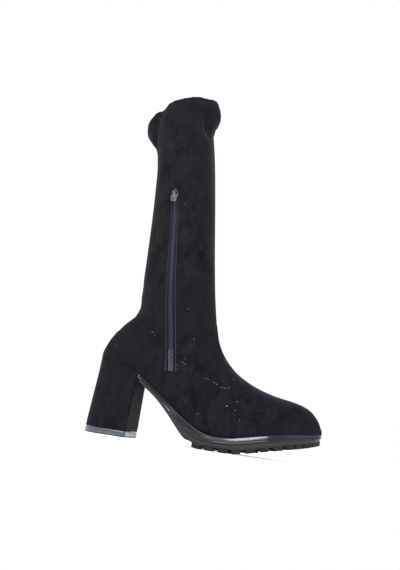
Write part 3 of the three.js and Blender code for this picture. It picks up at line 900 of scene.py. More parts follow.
@dataclass(frozen=True)
class Cloth:
    """A woven cloth or tape, its threads crossing in an over-and-under weave."""

    name: str
    light: Colour
    dark: Colour
    thread: float
    lean: float = 0.0
    sheen: float = 0.1

    def build(self) -> Material:
        """Makes the material.

        Returns:
            The material.
        """
        mix_in = Recipe(
            self.name, Roughness=0.85, Sheen_Weight=self.sheen, Sheen_Roughness=0.5, Specular_IOR_Level=0.12
        )
        coords = mix_in.mapping((1, 1, 1), (0, self.lean, 0))
        bands = 1 / (self.thread * TURN) * 2
        warp = mix_in.wave(coords, bands, "X", 0.4)
        weft = mix_in.wave(coords, bands, "Z", 0.4)
        weave = mix_in.math("MULTIPLY", warp, weft)
        fluff = mix_in.noise(coords, 900, 3, 0.6)
        blotch = mix_in.noise(coords, 60, 3, 0.6)
        tone = mix_in.math("ADD", mix_in.math("MULTIPLY", weave, 0.6), mix_in.span(fluff, -0.1, 0.3))
        tone = mix_in.math("ADD", tone, mix_in.span(blotch, -0.1, 0.2))
        colour = mix_in.ramp(tone, (0.0, self.dark), (0.9, self.light))
        relief = mix_in.bump(weave, self.thread * 0.4)
        relief = mix_in.bump(fluff, 0.0001, relief)
        return mix_in.feed(Base_Color=colour, Normal=relief)


@dataclass(frozen=True)
class Yarn:
    """Spun or moulded thread: sewing thread, the zip's coil, specks of lint."""

    name: str
    light: Colour
    dark: Colour
    roughness: float = 0.6
    ply: float = 0.0006

    def build(self) -> Material:
        """Makes the material.

        Returns:
            The material.
        """
        mix_in = Recipe(self.name, Specular_IOR_Level=0.2)
        coords = mix_in.mapping((1, 1, 1), (20, 25, 0))
        plies = mix_in.wave(coords, 1 / (self.ply * math.pi), "DIAGONAL", 0.5)
        fibres = mix_in.noise(coords, 1400, 2, 0.6)
        shade = mix_in.noise(coords, 160, 2, 0.5)
        tone = mix_in.math("ADD", mix_in.math("MULTIPLY", plies, 0.45), mix_in.span(shade, 0, 0.6))
        colour = mix_in.ramp(tone, (0.1, self.dark), (0.9, self.light))
        relief = mix_in.bump(plies, self.ply * 0.3)
        relief = mix_in.bump(fibres, 0.00004, relief)
        rough = mix_in.span(fibres, self.roughness - 0.08, self.roughness + 0.1)
        return mix_in.feed(Base_Color=colour, Roughness=rough, Normal=relief)


@dataclass(frozen=True)
class Metal:
    """Dark plated metal, rubbed lighter in places."""

    name: str
    plate: Colour
    rubbed: Colour
    roughness: float = 0.26

    def build(self) -> Material:
        """Makes the material.

        Returns:
            The material.
        """
        mix_in = Recipe(self.name, Metallic=1.0)
        straight = mix_in.mapping((1, 1, 1))
        brushed = mix_in.mapping((1, 1, 0.08), (0, 12, 0))
        hairlines = mix_in.noise(brushed, 2600, 2, 0.6)
        smudges = mix_in.noise(straight, 330, 3, 0.6)
        colour = mix_in.blend(mix_in.span(smudges, 0, 1, 0.42, 0.68), self.plate, self.rubbed)
        rough = mix_in.math("ADD", mix_in.span(smudges, -0.07, 0.12), mix_in.span(hairlines, 0.18, 0.34))
        return mix_in.feed(Base_Color=colour, Roughness=rough, Normal=mix_in.bump(hairlines, 0.00002))


@dataclass(frozen=True)
class Plaster:
    """The plain pale floor."""

    name: str = "floor"
    light: Colour = (0.90, 0.90, 0.90)
    shade: Colour = (0.86, 0.86, 0.86)

    def build(self) -> Material:
        """Makes the material.

        Returns:
            The material.
        """
        mix_in = Recipe(self.name, Roughness=0.75, Emission_Color=(1, 1, 1, 1), Emission_Strength=0.5)
        clouds = mix_in.noise(mix_in.mapping((1, 1, 1)), 3, 4, 0.6)
        return mix_in.feed(Base_Color=mix_in.ramp(clouds, (0.3, self.shade), (0.7, self.light)))


def made(recipe: Suede | Rubber | Cloth | Yarn | Metal) -> Material:
    """A field that holds the material of a finish."""
    return field(default_factory=recipe.build)


@dataclass
class Finishes:
    """Every finish of the boot, made once."""

    suede: Material = made(Suede())
    welt: Material = made(
        Rubber(
            "gloss_rubber", (0.004, 0.0043, 0.0056), (0.03, 0.034, 0.042), roughness=0.14, coat=0.4,
            grain=0.00002, scuff=0.2, specular=0.16,
        )
    )
    tread: Material = made(
        Rubber(
            "tread_rubber", (0.009, 0.0094, 0.0085), (0.045, 0.046, 0.040), roughness=0.55,
            grain=0.0002, scuff=0.6, specular=0.12,
        )
    )
    heel_tip: Material = made(
        Rubber("heel_rubber", (0.050, 0.058, 0.072), (0.11, 0.12, 0.14), roughness=0.24, coat=0.3)
    )
    lining: Material = made(Cloth("lining", (0.022, 0.0215, 0.0215), (0.008, 0.008, 0.009), 0.0006))
    sock: Material = made(Cloth("sock", (0.060, 0.053, 0.047), (0.022, 0.020, 0.018), 0.0009))
    tape: Material = made(
        Cloth("zip_tape", (0.0085, 0.0105, 0.0230), (0.0025, 0.003, 0.007), 0.00045, lean=8, sheen=0.05)
    )
    coil: Material = made(
        Yarn("zip_coil", (0.044, 0.046, 0.070), (0.014, 0.0145, 0.024), roughness=0.42, ply=0.0009)
    )
    nickel: Material = made(Metal("dark_nickel", (0.034, 0.034, 0.037), (0.16, 0.16, 0.158)))
    thread: Material = made(Yarn("black_thread", (0.0085, 0.009, 0.010), (0.0035, 0.0037, 0.004)))
    # Pale thread: the real pale threads at the zip's foot and on the seam, and painted highlights on a few
    # black stitches.
    pale_thread: Material = made(Yarn("pale_thread", (0.22, 0.22, 0.225), (0.09, 0.09, 0.095)))
    lint: Material = made(Yarn("lint", (0.75, 0.74, 0.70), (0.36, 0.35, 0.33), roughness=0.8))


# ---------------------------------------------------------------- the upper


FOLD_ROWS = {
    Side.MEDIAL: (
        ((90, 170), (62, 152), 6, 0.9), ((95, 150), (66, 139), 5, 0.7), ((2, 146), (30, 134), 6, 1.0),
        ((4, 166), (26, 158), 7, 0.7), ((104, 118), (82, 112), 6, 0.8), ((118, 84), (100, 62), 8, -0.5),
        ((-11, 340), (-8, 384), 3.6, 5.2), ((2, 350), (4, 398), 7, -0.9),
        ((60, 368), (52, 402), 3.4, 5.0), ((24, 404), (34, 384), 5, 0.9), ((6, 352), (30, 340), 8, 1.0),
        ((20, 366), (46, 344), 7, 0.7), ((52, 352), (66, 330), 8, 0.9), ((-2, 330), (12, 300), 9, 0.5),
    ),
    Side.LATERAL: (
        ((90, 168), (60, 150), 6, 1.0), ((97, 146), (68, 132), 6, 0.9), ((2, 148), (34, 136), 6, 1.1),
        ((6, 170), (30, 162), 7, 0.7), ((106, 116), (80, 108), 6, 0.7), ((0, 356), (34, 336), 8, 1.2),
        ((58, 368), (40, 340), 8, 0.8),
    ),
}
FOLDS = tuple(Fold(side, *row) for side, rows in FOLD_ROWS.items() for row in rows)


def even_rows(last: Last, first: float, final: float, count: int) -> list[float]:
    """Rows at even distances over the surface.

    Args:
        last: The surface.
        first: Where they start.
        final: Where they end.
        count: How many steps lie between.

    Returns:
        The rows, count + 1 of them.
    """
    fine = [mix(first, final, k / MEASURE_STEPS) for k in range(MEASURE_STEPS + 1)]
    angles = (0.0, math.pi / 2, math.pi)
    gone = [0.0]
    for here, there in zip(fine, fine[1:]):
        moved = (last.base_point(here, angle) - last.base_point(there, angle) for angle in angles)
        gone.append(gone[-1] + sum(move.length for move in moved))
    found, k = [], 0
    for step in range(count + 1):
        goal = gone[-1] * step / count
        while k < len(gone) - 2 and gone[k + 1] < goal:
            k += 1
        found.append(mix(fine[k], fine[k + 1], (goal - gone[k]) / (gone[k + 1] - gone[k])))
    return found


def smooth_places(places: Sequence[tuple[float, float]], steps: int) -> list[Place]:
    """A smooth line of places through rows and degrees.

    Args:
        places: Pairs of a row and an angle in degrees.
        steps: Points between one pair and the next.

    Returns:
        The places along the line.
    """
    ends = [places[0], *places, places[-1]]
    line = []
    for a, b, c, d in zip(ends, ends[1:], ends[2:], ends[3:]):
        for k in range(steps):
            t = k / steps
            row, turn = (
                0.5 * (
                    2 * q + (r - p) * t + (2 * p - 5 * q + 4 * r - s) * t**2
                    + (3 * q - p - 3 * r + s) * t**3
                )
                for p, q, r, s in zip(a, b, c, d)
            )
            line.append(Place(row, math.radians(turn)))
    return [*line, Place(places[-1][0], math.radians(places[-1][1]))]


def heading(points: Sequence[Vector], k: int) -> Vector:
    """The direction of a line at its point number k."""
    return (points[min(k + 1, len(points) - 1)] - points[max(k - 1, 0)]).normalized()


def mirrored(places: Iterable[Place]) -> list[Place]:
    """The same line of places on the other side of the boot."""
    return [Place(row, TURN - turn) for row, turn in places]


def tube(points: Sequence[Vector], outs: Sequence[Vector], radius: float, sides: int = 10) -> Mesh:
    """A round cord along a line.

    Args:
        points: The line.
        outs: The direction away from the surface at each point.
        radius: Half the cord's thickness.
        sides: Faces round it.

    Returns:
        The mesh.
    """
    levels = []
    for k, (point, out) in enumerate(zip(points, outs)):
        along = heading(points, k)
        across = along.cross(out).normalized()
        up = across.cross(along)
        angles = [TURN * j / sides for j in range(sides)]
        levels.append([point + (across * math.cos(a) + up * math.sin(a)) * radius for a in angles])
    mesh = bmesh.new()
    loft_levels(mesh, levels)
    return merged(mesh)


@dataclass
class Upper:
    """The soft foot and shaft: shell, lining, hem, counter panel, seams and stitches."""

    last: Last
    finishes: Finishes
    wall: float = 2.0
    columns: int = 176
    outer_rows: int = 236
    nose_rows: int = 12
    inner_rows: int = 84
    rim_steps: int = 8
    lining_row: float = 0.7
    sole_lap: float = 0.6
    slot_column: float = 0.216
    slot_columns: int = 5
    slot_blend: int = 12
    slot_fade: float = 0.6
    hem_row: float = 26.5
    hem_steps: int = 16
    hem_columns: int = 240
    hem_sink: float = 0.25
    hem_thickness: float = 0.4
    panel_thickness: float = 0.5
    panel_columns: int = 220
    panel_rows: int = 48
    panel_feet: tuple[float, float] = (13.4, 7.75)
    panel_sink: float = 0.3
    edge_radius: float = 0.32
    seam_thickness: float = 0.3
    stitch_radius: float = 0.19
    stitch: float = 2.3
    stitch_gap: float = 1.0
    counter_top: Pairs = (
        (6.9, 135), (7.3, 127.5), (8.1, 124), (8.7, 119.5), (9.2, 114), (9.7, 110), (10.1, 106.5),
        (10.6, 102), (11.1, 98.5), (12.0, 96), (12.7, 94), (13.5, 91), (14.3, 85), (15.0, 70),
        (15.45, 48), (15.65, 24), (15.7, 0),
    )
    vamp_edge: Pairs = (
        (6.9, 136), (7.3, 148), (9.1, 162), (11.2, 172), (13.2, 179),
    )

    def build(self) -> None:
        """Makes every piece of the upper."""
        self._shell()
        self._hem()
        self._counter()
        self._seams()
        self._stitches()

    def _levels(self) -> list[tuple[float, float, float]]:
        """The rings of the shell, from the toe outside, over the collar, to the toe inside.

        Returns:
            The row, distance out and angle over the rim of each ring.
        """
        nose = [(-math.cos(math.pi / 2 * k / self.nose_rows), 0.0, 0.0) for k in range(self.nose_rows)]
        outer = [(row, 0.0, 0.0) for row in even_rows(self.last, 0, COLLAR_ROW, self.outer_rows)]
        rim = [(COLLAR_ROW, 0.0, math.pi * k / self.rim_steps) for k in range(1, self.rim_steps)]
        lined = even_rows(self.last, self.lining_row, COLLAR_ROW, self.inner_rows)
        inner = [(row, -self.wall, 0.0) for row in reversed(lined)]
        return [*nose, *outer, *rim, *inner]

    def _on_ring(self, level: tuple[float, float, float], turn: float, proud: float = 0.0) -> Vector:
        """A point of the shell, held above the sole line.

        Args:
            level: The ring, as _levels gives it.
            turn: Angle round it.
            proud: How far it stands off the shell on both faces.

        Returns:
            The point.
        """
        row, out, lean = level
        if lean:
            normal = self.last.normal(COLLAR_ROW, turn)
            middle = self.last.point(COLLAR_ROW, turn, -self.wall / 2)
            below = self.last.point(COLLAR_ROW - 0.1, turn)
            up = (self.last.point(COLLAR_ROW, turn) - below).normalized()
            radius = self.wall / 2 + proud
            return middle + normal * radius * math.cos(lean) + up * radius * math.sin(lean)
        point = self.last.point(row, turn, out + math.copysign(proud, out + 0.5))
        floor = SOLE_LINE(point.x) + (self.wall if out < 0 else -self.sole_lap)
        point.z = max(point.z, floor)
        return point

    def _slot_edges(self) -> tuple[Curve, Curve, tuple[float, float], tuple[float, float]]:
        """The slot for the zip, in rows and angles.

        Returns:
            The angle of its back edge and of its front edge at each row, and the rows of its back and front
            corners at the bottom and at the top.
        """
        edges = []
        for side in (-1, 1):
            heights = [mix(Zip.bottom, Zip.top, k / 30) for k in range(-2, 33)]
            places = [self.last.place(ZIP_X(z) + side * ZIP_HALF(z), z, Side.MEDIAL) for z in heights]
            edges.append((curve(*places), places[2].row, places[-3].row))
        (back, low_back, high_back), (front, low_front, high_front) = edges
        return back, front, (low_back, low_front), (high_back, high_front)

    def _shell(self) -> None:
        """Makes the shell and its lining, with the slot for the zip."""
        back, front, bottom, top = self._slot_edges()
        levels = self._levels()
        rows, columns = len(levels) - 1, self.columns
        first_inner = rows - self.inner_rows
        left = round(columns * self.slot_column)
        right = left + self.slot_columns
        spans = []
        for low, high in ((self.nose_rows, first_inner - self.rim_steps), (first_inner, rows)):
            marks = [sum(ends) / 2 for ends in (bottom, top)]
            ends = [min(range(low, high), key=lambda k: abs(levels[k][0] - row)) for row in marks]
            for k, row in zip(ends, marks):
                levels[k] = (row, *levels[k][1:])
            spans.append(sorted(ends))
        stops = (0, left, right, columns // 2, columns)

        def place(u: float, v: float) -> Vector:
            """A point of the shell: two columns follow the slot's edges, and two rows its ends.

            Args:
                u: Share of the way round.
                v: Share of the way through the rings.

            Returns:
                The point.
            """
            column, level = round(u * columns), levels[round(v * rows)]
            row = level[0]
            turns = (0.0, back(row), front(row), math.pi, TURN)
            k = max(bisect.bisect_left(stops, column) - 1, 0)
            turn = mix(turns[k], turns[k + 1], (column - stops[k]) / (stops[k + 1] - stops[k]))
            away = max(left - column, column - right, 0)
            near = max(1 - away / self.slot_blend, 0.0)
            lean = near * min(max((column - left) / (right - left), 0.0), 1.0)
            for low, high in (bottom, top):
                fade = math.exp(-(((row - (low + high) / 2) / self.slot_fade) ** 2))
                row += (high - low) * (lean - 0.5 * near) * fade
            return self._on_ring((row, *level[1:]), turn)

        def in_slot(column: float, level: float) -> bool:
            """Whether a face lies in the slot."""
            return left < column < right and any(low < level < high for low, high in spans)

        mesh = grid_mesh(columns, rows, place, in_slot, first_inner - 1)
        bmesh.ops.remove_doubles(mesh, verts=mesh.verts, dist=0.002)
        open_edges = [edge for edge in mesh.edges if edge.is_boundary]
        toe = [edge for edge in open_edges if edge.verts[0].co.x > 150]
        bmesh.ops.holes_fill(mesh, edges=toe, sides=0)
        bmesh.ops.bridge_loops(mesh, edges=[edge for edge in open_edges if edge not in set(toe)])
        shell = Piece("upper_shell", merged(mesh, 0.002), self.finishes.suede, self.finishes.lining)
        shell.ride("suede", "upper")

    def _hem(self) -> None:
        """Makes the folded hem round the collar, slightly gathered."""
        down = even_rows(self.last, self.hem_row, COLLAR_ROW, self.hem_steps)
        thin = self.hem_thickness * 0.7
        face = [(down[0], 0.0, 0.0, -self.hem_sink), (down[0] + 0.01, 0.0, 0.0, thin)]
        face += [(row, 0.0, 0.0, self.hem_thickness) for row in down[1:]]
        rim = [(COLLAR_ROW, 0.0, math.pi * k / 10, self.hem_thickness) for k in range(1, 10)]
        back = [(row, -self.wall, 0.0, self.hem_thickness) for row in reversed(down[1:])]
        back += [(down[0] + 0.01, -self.wall, 0.0, thin), (down[0], -self.wall, 0.0, -self.hem_sink)]
        levels = [*face, *rim, *back, face[0]]
        rows = len(levels) - 1

        def place(u: float, v: float) -> Vector:
            """A point of the hem, where its gathers lift it.

            Args:
                u: Share of the way round.
                v: Share of the way over the hem.

            Returns:
                The point.
            """
            row, out, lean, proud = levels[round(v * rows)]
            along = u * TURN
            gathers = 0.16 * math.sin(along * 46 + 1.6 * math.sin(along * 7)) + 0.12 * math.sin(along * 27)
            lift = gathers * ease(self.hem_row, self.hem_row + 0.25, row) if proud > 0 else 0.0
            return self._on_ring((row, out, lean), along, proud + lift)

        mesh = merged(grid_mesh(self.hem_columns, rows, place), 0.002)
        Piece("collar_hem", mesh, self.finishes.suede, smooth=60).ride("suede")

    def _sole_turn(self, row: float) -> float:
        """The angle at which a row meets the sole line.

        Args:
            row: Place among the sections.

        Returns:
            The angle round from the back.
        """
        low, high = 0.0, math.pi / 2
        for _ in range(24):
            turn = (low + high) / 2
            point = self.last.base_point(row, turn)
            if point.z < SOLE_LINE(point.x) - 0.5:
                low = turn
            else:
                high = turn
        return low

    def _counter_line(self) -> list[Place]:
        """The counter's top edge, from its tip on the inner side round the back to its tip on the outer."""
        inner = smooth_places(self.counter_top, 8)
        return [*inner, *(Place(place.row, -place.turn) for place in reversed(inner[:-1]))]

    def _notch(self, top: Sequence[Place]) -> tuple[list[float], list[Place]]:
        """Where the counter's top edge meets the slot for the zip.

        Args:
            top: The counter's top edge.

        Returns:
            The steps along the edge at which it meets the slot's front and back, and the slot's two lower
            corners.
        """
        back, front, bottom, _ = self._slot_edges()
        steps = []
        for edge in (front, back):
            ahead = [place.turn - edge(place.row) for place in top]
            k = next(k for k, gap in enumerate(ahead) if gap < 0)
            steps.append(k - 1 + ahead[k - 1] / (ahead[k - 1] - ahead[k]))
        return steps, [Place(bottom[1], front(bottom[1])), Place(bottom[0], back(bottom[0]))]

    def _counter(self) -> None:
        """Makes the panel that wraps the heel and the waist, as a thin closed shell notched for the zip."""
        top = self._counter_line()
        last_step = len(top) - 1
        (front_step, back_step), corners = self._notch(top)
        columns, down_steps = self.panel_columns, self.panel_rows
        front = round(front_step / last_step * columns)
        back = max(front + 4, round(back_step / last_step * columns))
        spacing = curve((0, 0), (front, front_step), (back, back_step), (columns, last_step))
        edge = (0.0, 0.0035, 0.009, 0.018)
        shares = [*edge, *(mix(edge[-1], 1, k / down_steps) for k in range(1, down_steps + 1))]
        rises = [-self.panel_sink, 0.6, 0.95, *(1.0 for _ in shares[3:-3]), 0.9, 0.6, 0.0]
        foot = 3 + down_steps // 2
        reach = math.radians(self.counter_top[0][1])
        lines = []
        for column in range(columns + 1):
            along = spacing(column)
            k = min(int(along), last_step - 1)
            start = Vector([mix(a, b, along - k) for a, b in zip(top[k], top[k + 1])])
            low_row = mix(*self.panel_feet, min(abs(start.y) / reach, 1))
            end = Vector((low_row, math.copysign(self._sole_turn(low_row), start.y)))
            lines.append((start, start.lerp(end, shares[foot]), end))
        shift_front, shift_back = (Vector(c) - lines[n][1] for c, n in zip(corners, (front, back)))
        shift = [
            curve((0, 0), (front, shift_front[k]), (back, shift_back[k]), (columns // 2, 0)) for k in range(2)
        ]
        rows = 2 * len(shares) - 1

        def place(u: float, v: float) -> Vector:
            """A point of the panel.

            Args:
                u: Share of the way round the heel.
                v: Share of the way down its outside and up behind it.

            Returns:
                The point.
            """
            column, level = round(u * columns), round(v * rows)
            outside = level < len(shares)
            step = level if outside else rows - level
            start, middle, end = lines[column]
            middle = middle + Vector((shift[0](column), shift[1](column)))
            if step <= foot:
                spot = start.lerp(middle, shares[step] / shares[foot])
            else:
                spot = middle.lerp(end, (shares[step] - shares[foot]) / (1 - shares[foot]))
            rise = -self.panel_sink
            if outside and not (front <= column <= back and step <= foot):
                rise = mix(rise, rises[step], ease(-0.002, 0.008, min(u, 1 - u)))
            return self.last.point(spot.x, spot.y, rise * self.panel_thickness)

        def in_notch(column: float, level: float) -> bool:
            """Whether a face lies in the notch."""
            return front < column < back and (level < foot or level > rows - foot)

        mesh = merged(grid_mesh(columns, rows, place, in_notch), 0.004)
        bmesh.ops.holes_fill(mesh, edges=[edge for edge in mesh.edges if edge.is_boundary], sides=0)
        bmesh.ops.recalc_face_normals(mesh, faces=mesh.faces)
        Piece("counter_panel", mesh, self.finishes.suede, smooth=50).ride("suede")
        for name, side in (("medial", 1), ("lateral", -1)):
            spots = [lines[0][0].lerp(lines[0][2], k / 40) for k in range(41)]
            line = self.last.line((Place(spot.x, side * spot.y) for spot in spots), self.edge_radius)
            mesh = tube(*line, self.edge_radius, 8)
            Piece(f"counter_edge_{name}", mesh, self.finishes.thread, smooth=70).ride("suede")

    def _seam(self, name: str, places: Sequence[Place], ends: tuple[float, float] = (2.0, 0.3)) -> None:
        """Makes a pressed-open seam: two soft lips with a valley between.

        Args:
            name: Name of the piece.
            places: The line that it follows.
            ends: Half its width and the height of its lips.
        """
        half, height = ends
        profile = (-0.6, 0.5, 1.0, 0.7, -0.7, 0.7, 1.0, 0.5, -0.6)
        points, normals = self.last.line(places)
        rows, columns = len(places) - 1, len(profile) - 1

        def place(u: float, v: float) -> Vector:
            """A point of the seam.

            Args:
                u: Share of the way across.
                v: Share of the way along.

            Returns:
                The point.
            """
            k = round(v * rows)
            along = heading(points, k)
            across = along.cross(normals[k])
            taper = ease(-0.01, 0.02, min(v, 1 - v))
            lift = profile[round(u * columns)] * height * taper
            return points[k] + across * (u - 0.5) * 2 * half + normals[k] * lift

        mesh = grid_mesh(columns, rows, place)
        outward = sum((face.normal.dot(normals[0]) for face in list(mesh.faces)[:columns]), 0.0)
        if outward < 0:
            bmesh.ops.reverse_faces(mesh, faces=mesh.faces)
        bmesh.ops.recalc_face_normals(mesh, faces=mesh.faces)
        bmesh.ops.solidify(mesh, geom=mesh.faces, thickness=self.seam_thickness)
        Piece(name, merged(mesh, 0.0005), self.finishes.suede, smooth=70).ride("suede")

    def _seams(self) -> None:
        """Makes the front, back and vamp seams."""
        inner = smooth_places(self.vamp_edge, 24)
        self._seam("vamp_seam_medial", inner)
        self._seam("vamp_seam_lateral", mirrored(inner))
        for name, start, turn, steps in (("front_seam", 13.0, math.pi, 150), ("back_seam", 15.75, 0.0, 130)):
            rows = even_rows(self.last, start, self.hem_row - 0.02, steps)
            self._seam(name, [Place(row, turn) for row in rows])

    def _stitch_line(
        self, name: str, points: Sequence[Vector], finish: Material, pale: Sequence[int] = ()
    ) -> None:
        """Makes a row of stitches.

        Args:
            name: Name of the piece.
            points: The line they follow, on the surface.
            finish: The thread.
            pale: Numbers of the stitches drawn in pale thread as painted highlights, where the black thread
                catches the light.
        """
        bars = Bars()
        spots = thread_path(points, self.stitch + self.stitch_gap)
        for k, (here, there) in enumerate(zip(spots, spots[1:])):
            reach = (there - here) * (self.stitch / (self.stitch + self.stitch_gap))
            # Stitches numbered in pale take the second material, pale thread, as a painted highlight.
            bars.add(here, here + reach, self.stitch_radius, 1 if k in pale else 0)
        Piece(name, bars.mesh, finish, self.finishes.pale_thread).ride("suede")

    def _beside(self, places: Sequence[Place], shift: float, out: float) -> list[Vector]:
        """The surface points beside a line.

        Args:
            places: The line.
            shift: How far across the line they are moved.
            out: How far outside the surface.

        Returns:
            The points.
        """
        points, normals = self.last.line(places, out)
        found = []
        for k, normal in enumerate(normals):
            along = heading(points, k)
            found.append(points[k] + along.cross(normal) * shift)
        return found

    def _stitches(self) -> None:
        """Makes the stitches beside the seams, along the counter and along the hem."""
        thread = self.finishes.thread
        edge = self._counter_line()
        half = len(edge) // 2
        inner_line = self._beside(edge[: half + 1], -1.6, self.panel_thickness + 0.1)
        outer_line = self._beside(edge[half:], -1.6, self.panel_thickness + 0.1)
        # The numbered stitches are drawn in pale thread as painted highlights.
        self._stitch_line("counter_stitch_medial", inner_line, thread, (1, 2, 3, 5, 6, 8, 9, 17, 18))
        self._stitch_line("counter_stitch_lateral", outer_line, thread)
        vamp = smooth_places(self.vamp_edge, 24)
        # Here too the numbered stitches are painted highlights in pale thread.
        self._stitch_line("vamp_stitch_medial", self._beside(vamp, 2.6, 0.1), thread, (2, 9, 10))
        self._stitch_line("vamp_stitch_lateral", self._beside(mirrored(vamp), -2.6, 0.1), thread)
        hem = [Place(self.hem_row + 0.14, TURN * k / 240) for k in range(241)]
        hem_line = [self.last.point(*place, self.hem_thickness + 0.15) for place in hem]
        self._stitch_line("hem_stitch", hem_line, thread)


# ---------------------------------------------------------------- the zip


@dataclass
class Zip:
    """The zip on the inner side: tapes, coil, end patch, folded slot edges, slider and pull."""

    last: Last
    finishes: Finishes
    bottom: float = 70
    top: float = 277
    coil_half: float = 2.3
    coil_pitch: float = 1.3
    coil_radius: float = 0.46
    tape_depth: float = 0.95
    tape_thickness: float = 0.7
    cord_height: float = 0.35
    cord_place: float = 3.2
    rib_height: float = 0.07
    rib_turns: float = 900
    lip_radius: float = 0.62
    lip_steps: int = 90
    lip_corner: float = 1.3
    foot_half: float = 5.6
    stitch_pitch: float = 3.3
    patch_top: float = 94
    slider_height: float = 9.6
    slider_width: float = 7.6
    slider_depth: float = 2.4
    slider_thickness: float = 2.2
    pull_length: float = 11
    pull_width: float = 6.8
    pull_thickness: float = 1.4
    eye_radius: float = 1.9
    bar_radius: float = 0.8

    def __post_init__(self) -> None:
        """Works out where the slider and its bar are."""
        self.slider_z = self.top - 1 - self.slider_height / 2
        self.slider_x = ZIP_X(self.slider_z)
        self.face_y = self.last.on_side(self.slider_x, self.slider_z, Side.MEDIAL).y - self.slider_depth
        low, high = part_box("zip_pull")
        self.bar = Vector((self.slider_x, (low[1] + high[1]) / 2 / MM, high[2] / MM - self.eye_radius))

    def build(self) -> None:
        """Makes every piece of the zip."""
        self._tapes()
        self._coil()
        self._patch()
        self._lips()
        self._bar_tacks()
        self._slider()
        self._pull()

    def _across(self, shift: float, z: float, out: float) -> Vector:
        """A point beside the zip's middle line, at a height."""
        return self.last.on_side(ZIP_X(z) + shift, z, Side.MEDIAL, out + self._lift(z))

    def _lift(self, z: float) -> float:
        """How far the zip is raised where it passes through the counter."""
        return 0.45 * (1 - ease(88, 99, z))

    def _tapes(self) -> None:
        """Makes the two tapes, woven, with a raised cord along the coil."""
        for name, side in (("back", -1), ("front", 1)):
            def place(u: float, v: float, side: int = side) -> Vector:
                """A point of the tape.

                Args:
                    u: Share of the way from the coil to the tape's outer edge.
                    v: Share of the way up.
                    side: 1 for the front tape and -1 for the back one.

                Returns:
                    The point.
                """
                z = mix(self.bottom + GAP, self.top - GAP, v)
                shift = side * mix(0.2, ZIP_HALF(z) - 0.1, u)
                cord = self.cord_height * math.exp(-(((abs(shift) - self.cord_place) / 0.5) ** 2))
                ribs = self.rib_height * math.sin(v * self.rib_turns)
                return self._across(shift, z, -self.tape_depth + (cord + ribs))

            mesh = grid_mesh(10, 150, place)
            bmesh.ops.recalc_face_normals(mesh, faces=mesh.faces)
            if mesh.faces[0].normal.y > 0:
                bmesh.ops.reverse_faces(mesh, faces=mesh.faces)
            bmesh.ops.solidify(mesh, geom=mesh.faces, thickness=self.tape_thickness)
            Piece(f"tape_{name}", mesh, self.finishes.tape, smooth=60).ride("zip_tape", f"zip_tape_{name}")

    def _coil(self) -> None:
        """Makes the coil: two rows of loops that hook between each other."""
        bars = Bars(7)
        end = self.slider_z - self.slider_height / 2 + 1.2
        z = self.bottom + 2.2
        while z < end:
            for side, rise in ((-1, 0.0), (1, self.coil_pitch / 2)):
                outer = self._across(side * self.coil_half, z + rise + 0.3, -0.75)
                crown = self._across(side * 1.3, z + rise + 0.1, -0.28)
                inner = self._across(-side * 0.35, z + rise - 0.1, -0.45)
                bars.add(outer, crown, self.coil_radius)
                bars.add(crown, inner, self.coil_radius)
            z += self.coil_pitch
        Piece("zip_coil_loops", bars.mesh, self.finishes.coil).ride("zip_coil", "zip_coil")

    def _patch(self) -> None:
        """Makes the pale threads that lock the foot of the coil."""
        bars = Bars()
        z = self.bottom + 1.6
        while z < self.patch_top:
            for side in (-1, 1):
                start = self._across(side * 2.5, z + 0.5, 0.12)
                middle = self._across(side * 1.5, z - 0.1, 0.3)
                bars.add(start, middle, 0.2)
                bars.add(middle, self._across(side * 0.6, z + 0.35, 0.12), 0.2)
            z += self.coil_pitch
        Piece("zip_foot_threads", bars.mesh, self.finishes.pale_thread).ride("zip_coil")

    def _lip_line(self, out: float, spread: float = 0.0) -> tuple[list[Vector], list[Vector]]:
        """A line round the slot, up the back edge, over the top and down the front.

        Args:
            out: How far outside the surface.
            spread: How far outside the slot.

        Returns:
            Its points and the directions away from the surface.
        """
        shares = [k / self.lip_steps for k in range(self.lip_steps + 1)]
        up = [(-1.0, mix(self.bottom, self.top, share)) for share in shares]
        over = [(-math.cos(math.pi * k / 8), self.top + spread) for k in range(1, 8)]
        down = [(1.0, mix(self.top, self.bottom, share)) for share in shares]
        points, outs = [], []
        for share, z in [*up, *over, *down]:
            end = ease(self.top - 3, self.top + spread, z)
            half = ZIP_HALF(z) + spread
            shift = share * (half - self.lip_corner * end if abs(share) == 1 else half - self.lip_corner)
            place = self.last.place(ZIP_X(z) + shift, z, Side.MEDIAL)
            points.append(self.last.point(*place, out + self._lift(z)))
            outs.append(self.last.normal(*place))
        return points, outs

    def _lips(self) -> None:
        """Makes the folded edge of the slot and the stitches beside it."""
        points, outs = self._lip_line(-0.25)
        middle = ZIP_X(self.bottom)
        across = [middle + mix(self.foot_half, -self.foot_half, k / 8) for k in range(9)]
        foot = [self.last.place(x, self.bottom, Side.MEDIAL) for x in across]
        foot_points, foot_outs = self.last.line(foot, 0.2)
        edge = tube([*points, *foot_points], [*outs, *foot_outs], self.lip_radius)
        Piece("zip_slot_edge", edge, self.finishes.suede, smooth=70).ride("suede")
        points, outs = self._lip_line(-0.35, -0.95)
        Piece("zip_edge_cord", tube(points, outs, 0.3, 8), self.finishes.coil, smooth=70).ride("zip_tape")
        bars = Bars()
        beside, _ = self._lip_line(0.05, 1.5)
        spots = thread_path(beside, self.stitch_pitch)
        for here, there in zip(spots, spots[1:]):
            bars.add(here, here.lerp(there, 0.68), 0.18)
        Piece("zip_stitch", bars.mesh, self.finishes.thread).ride("suede")

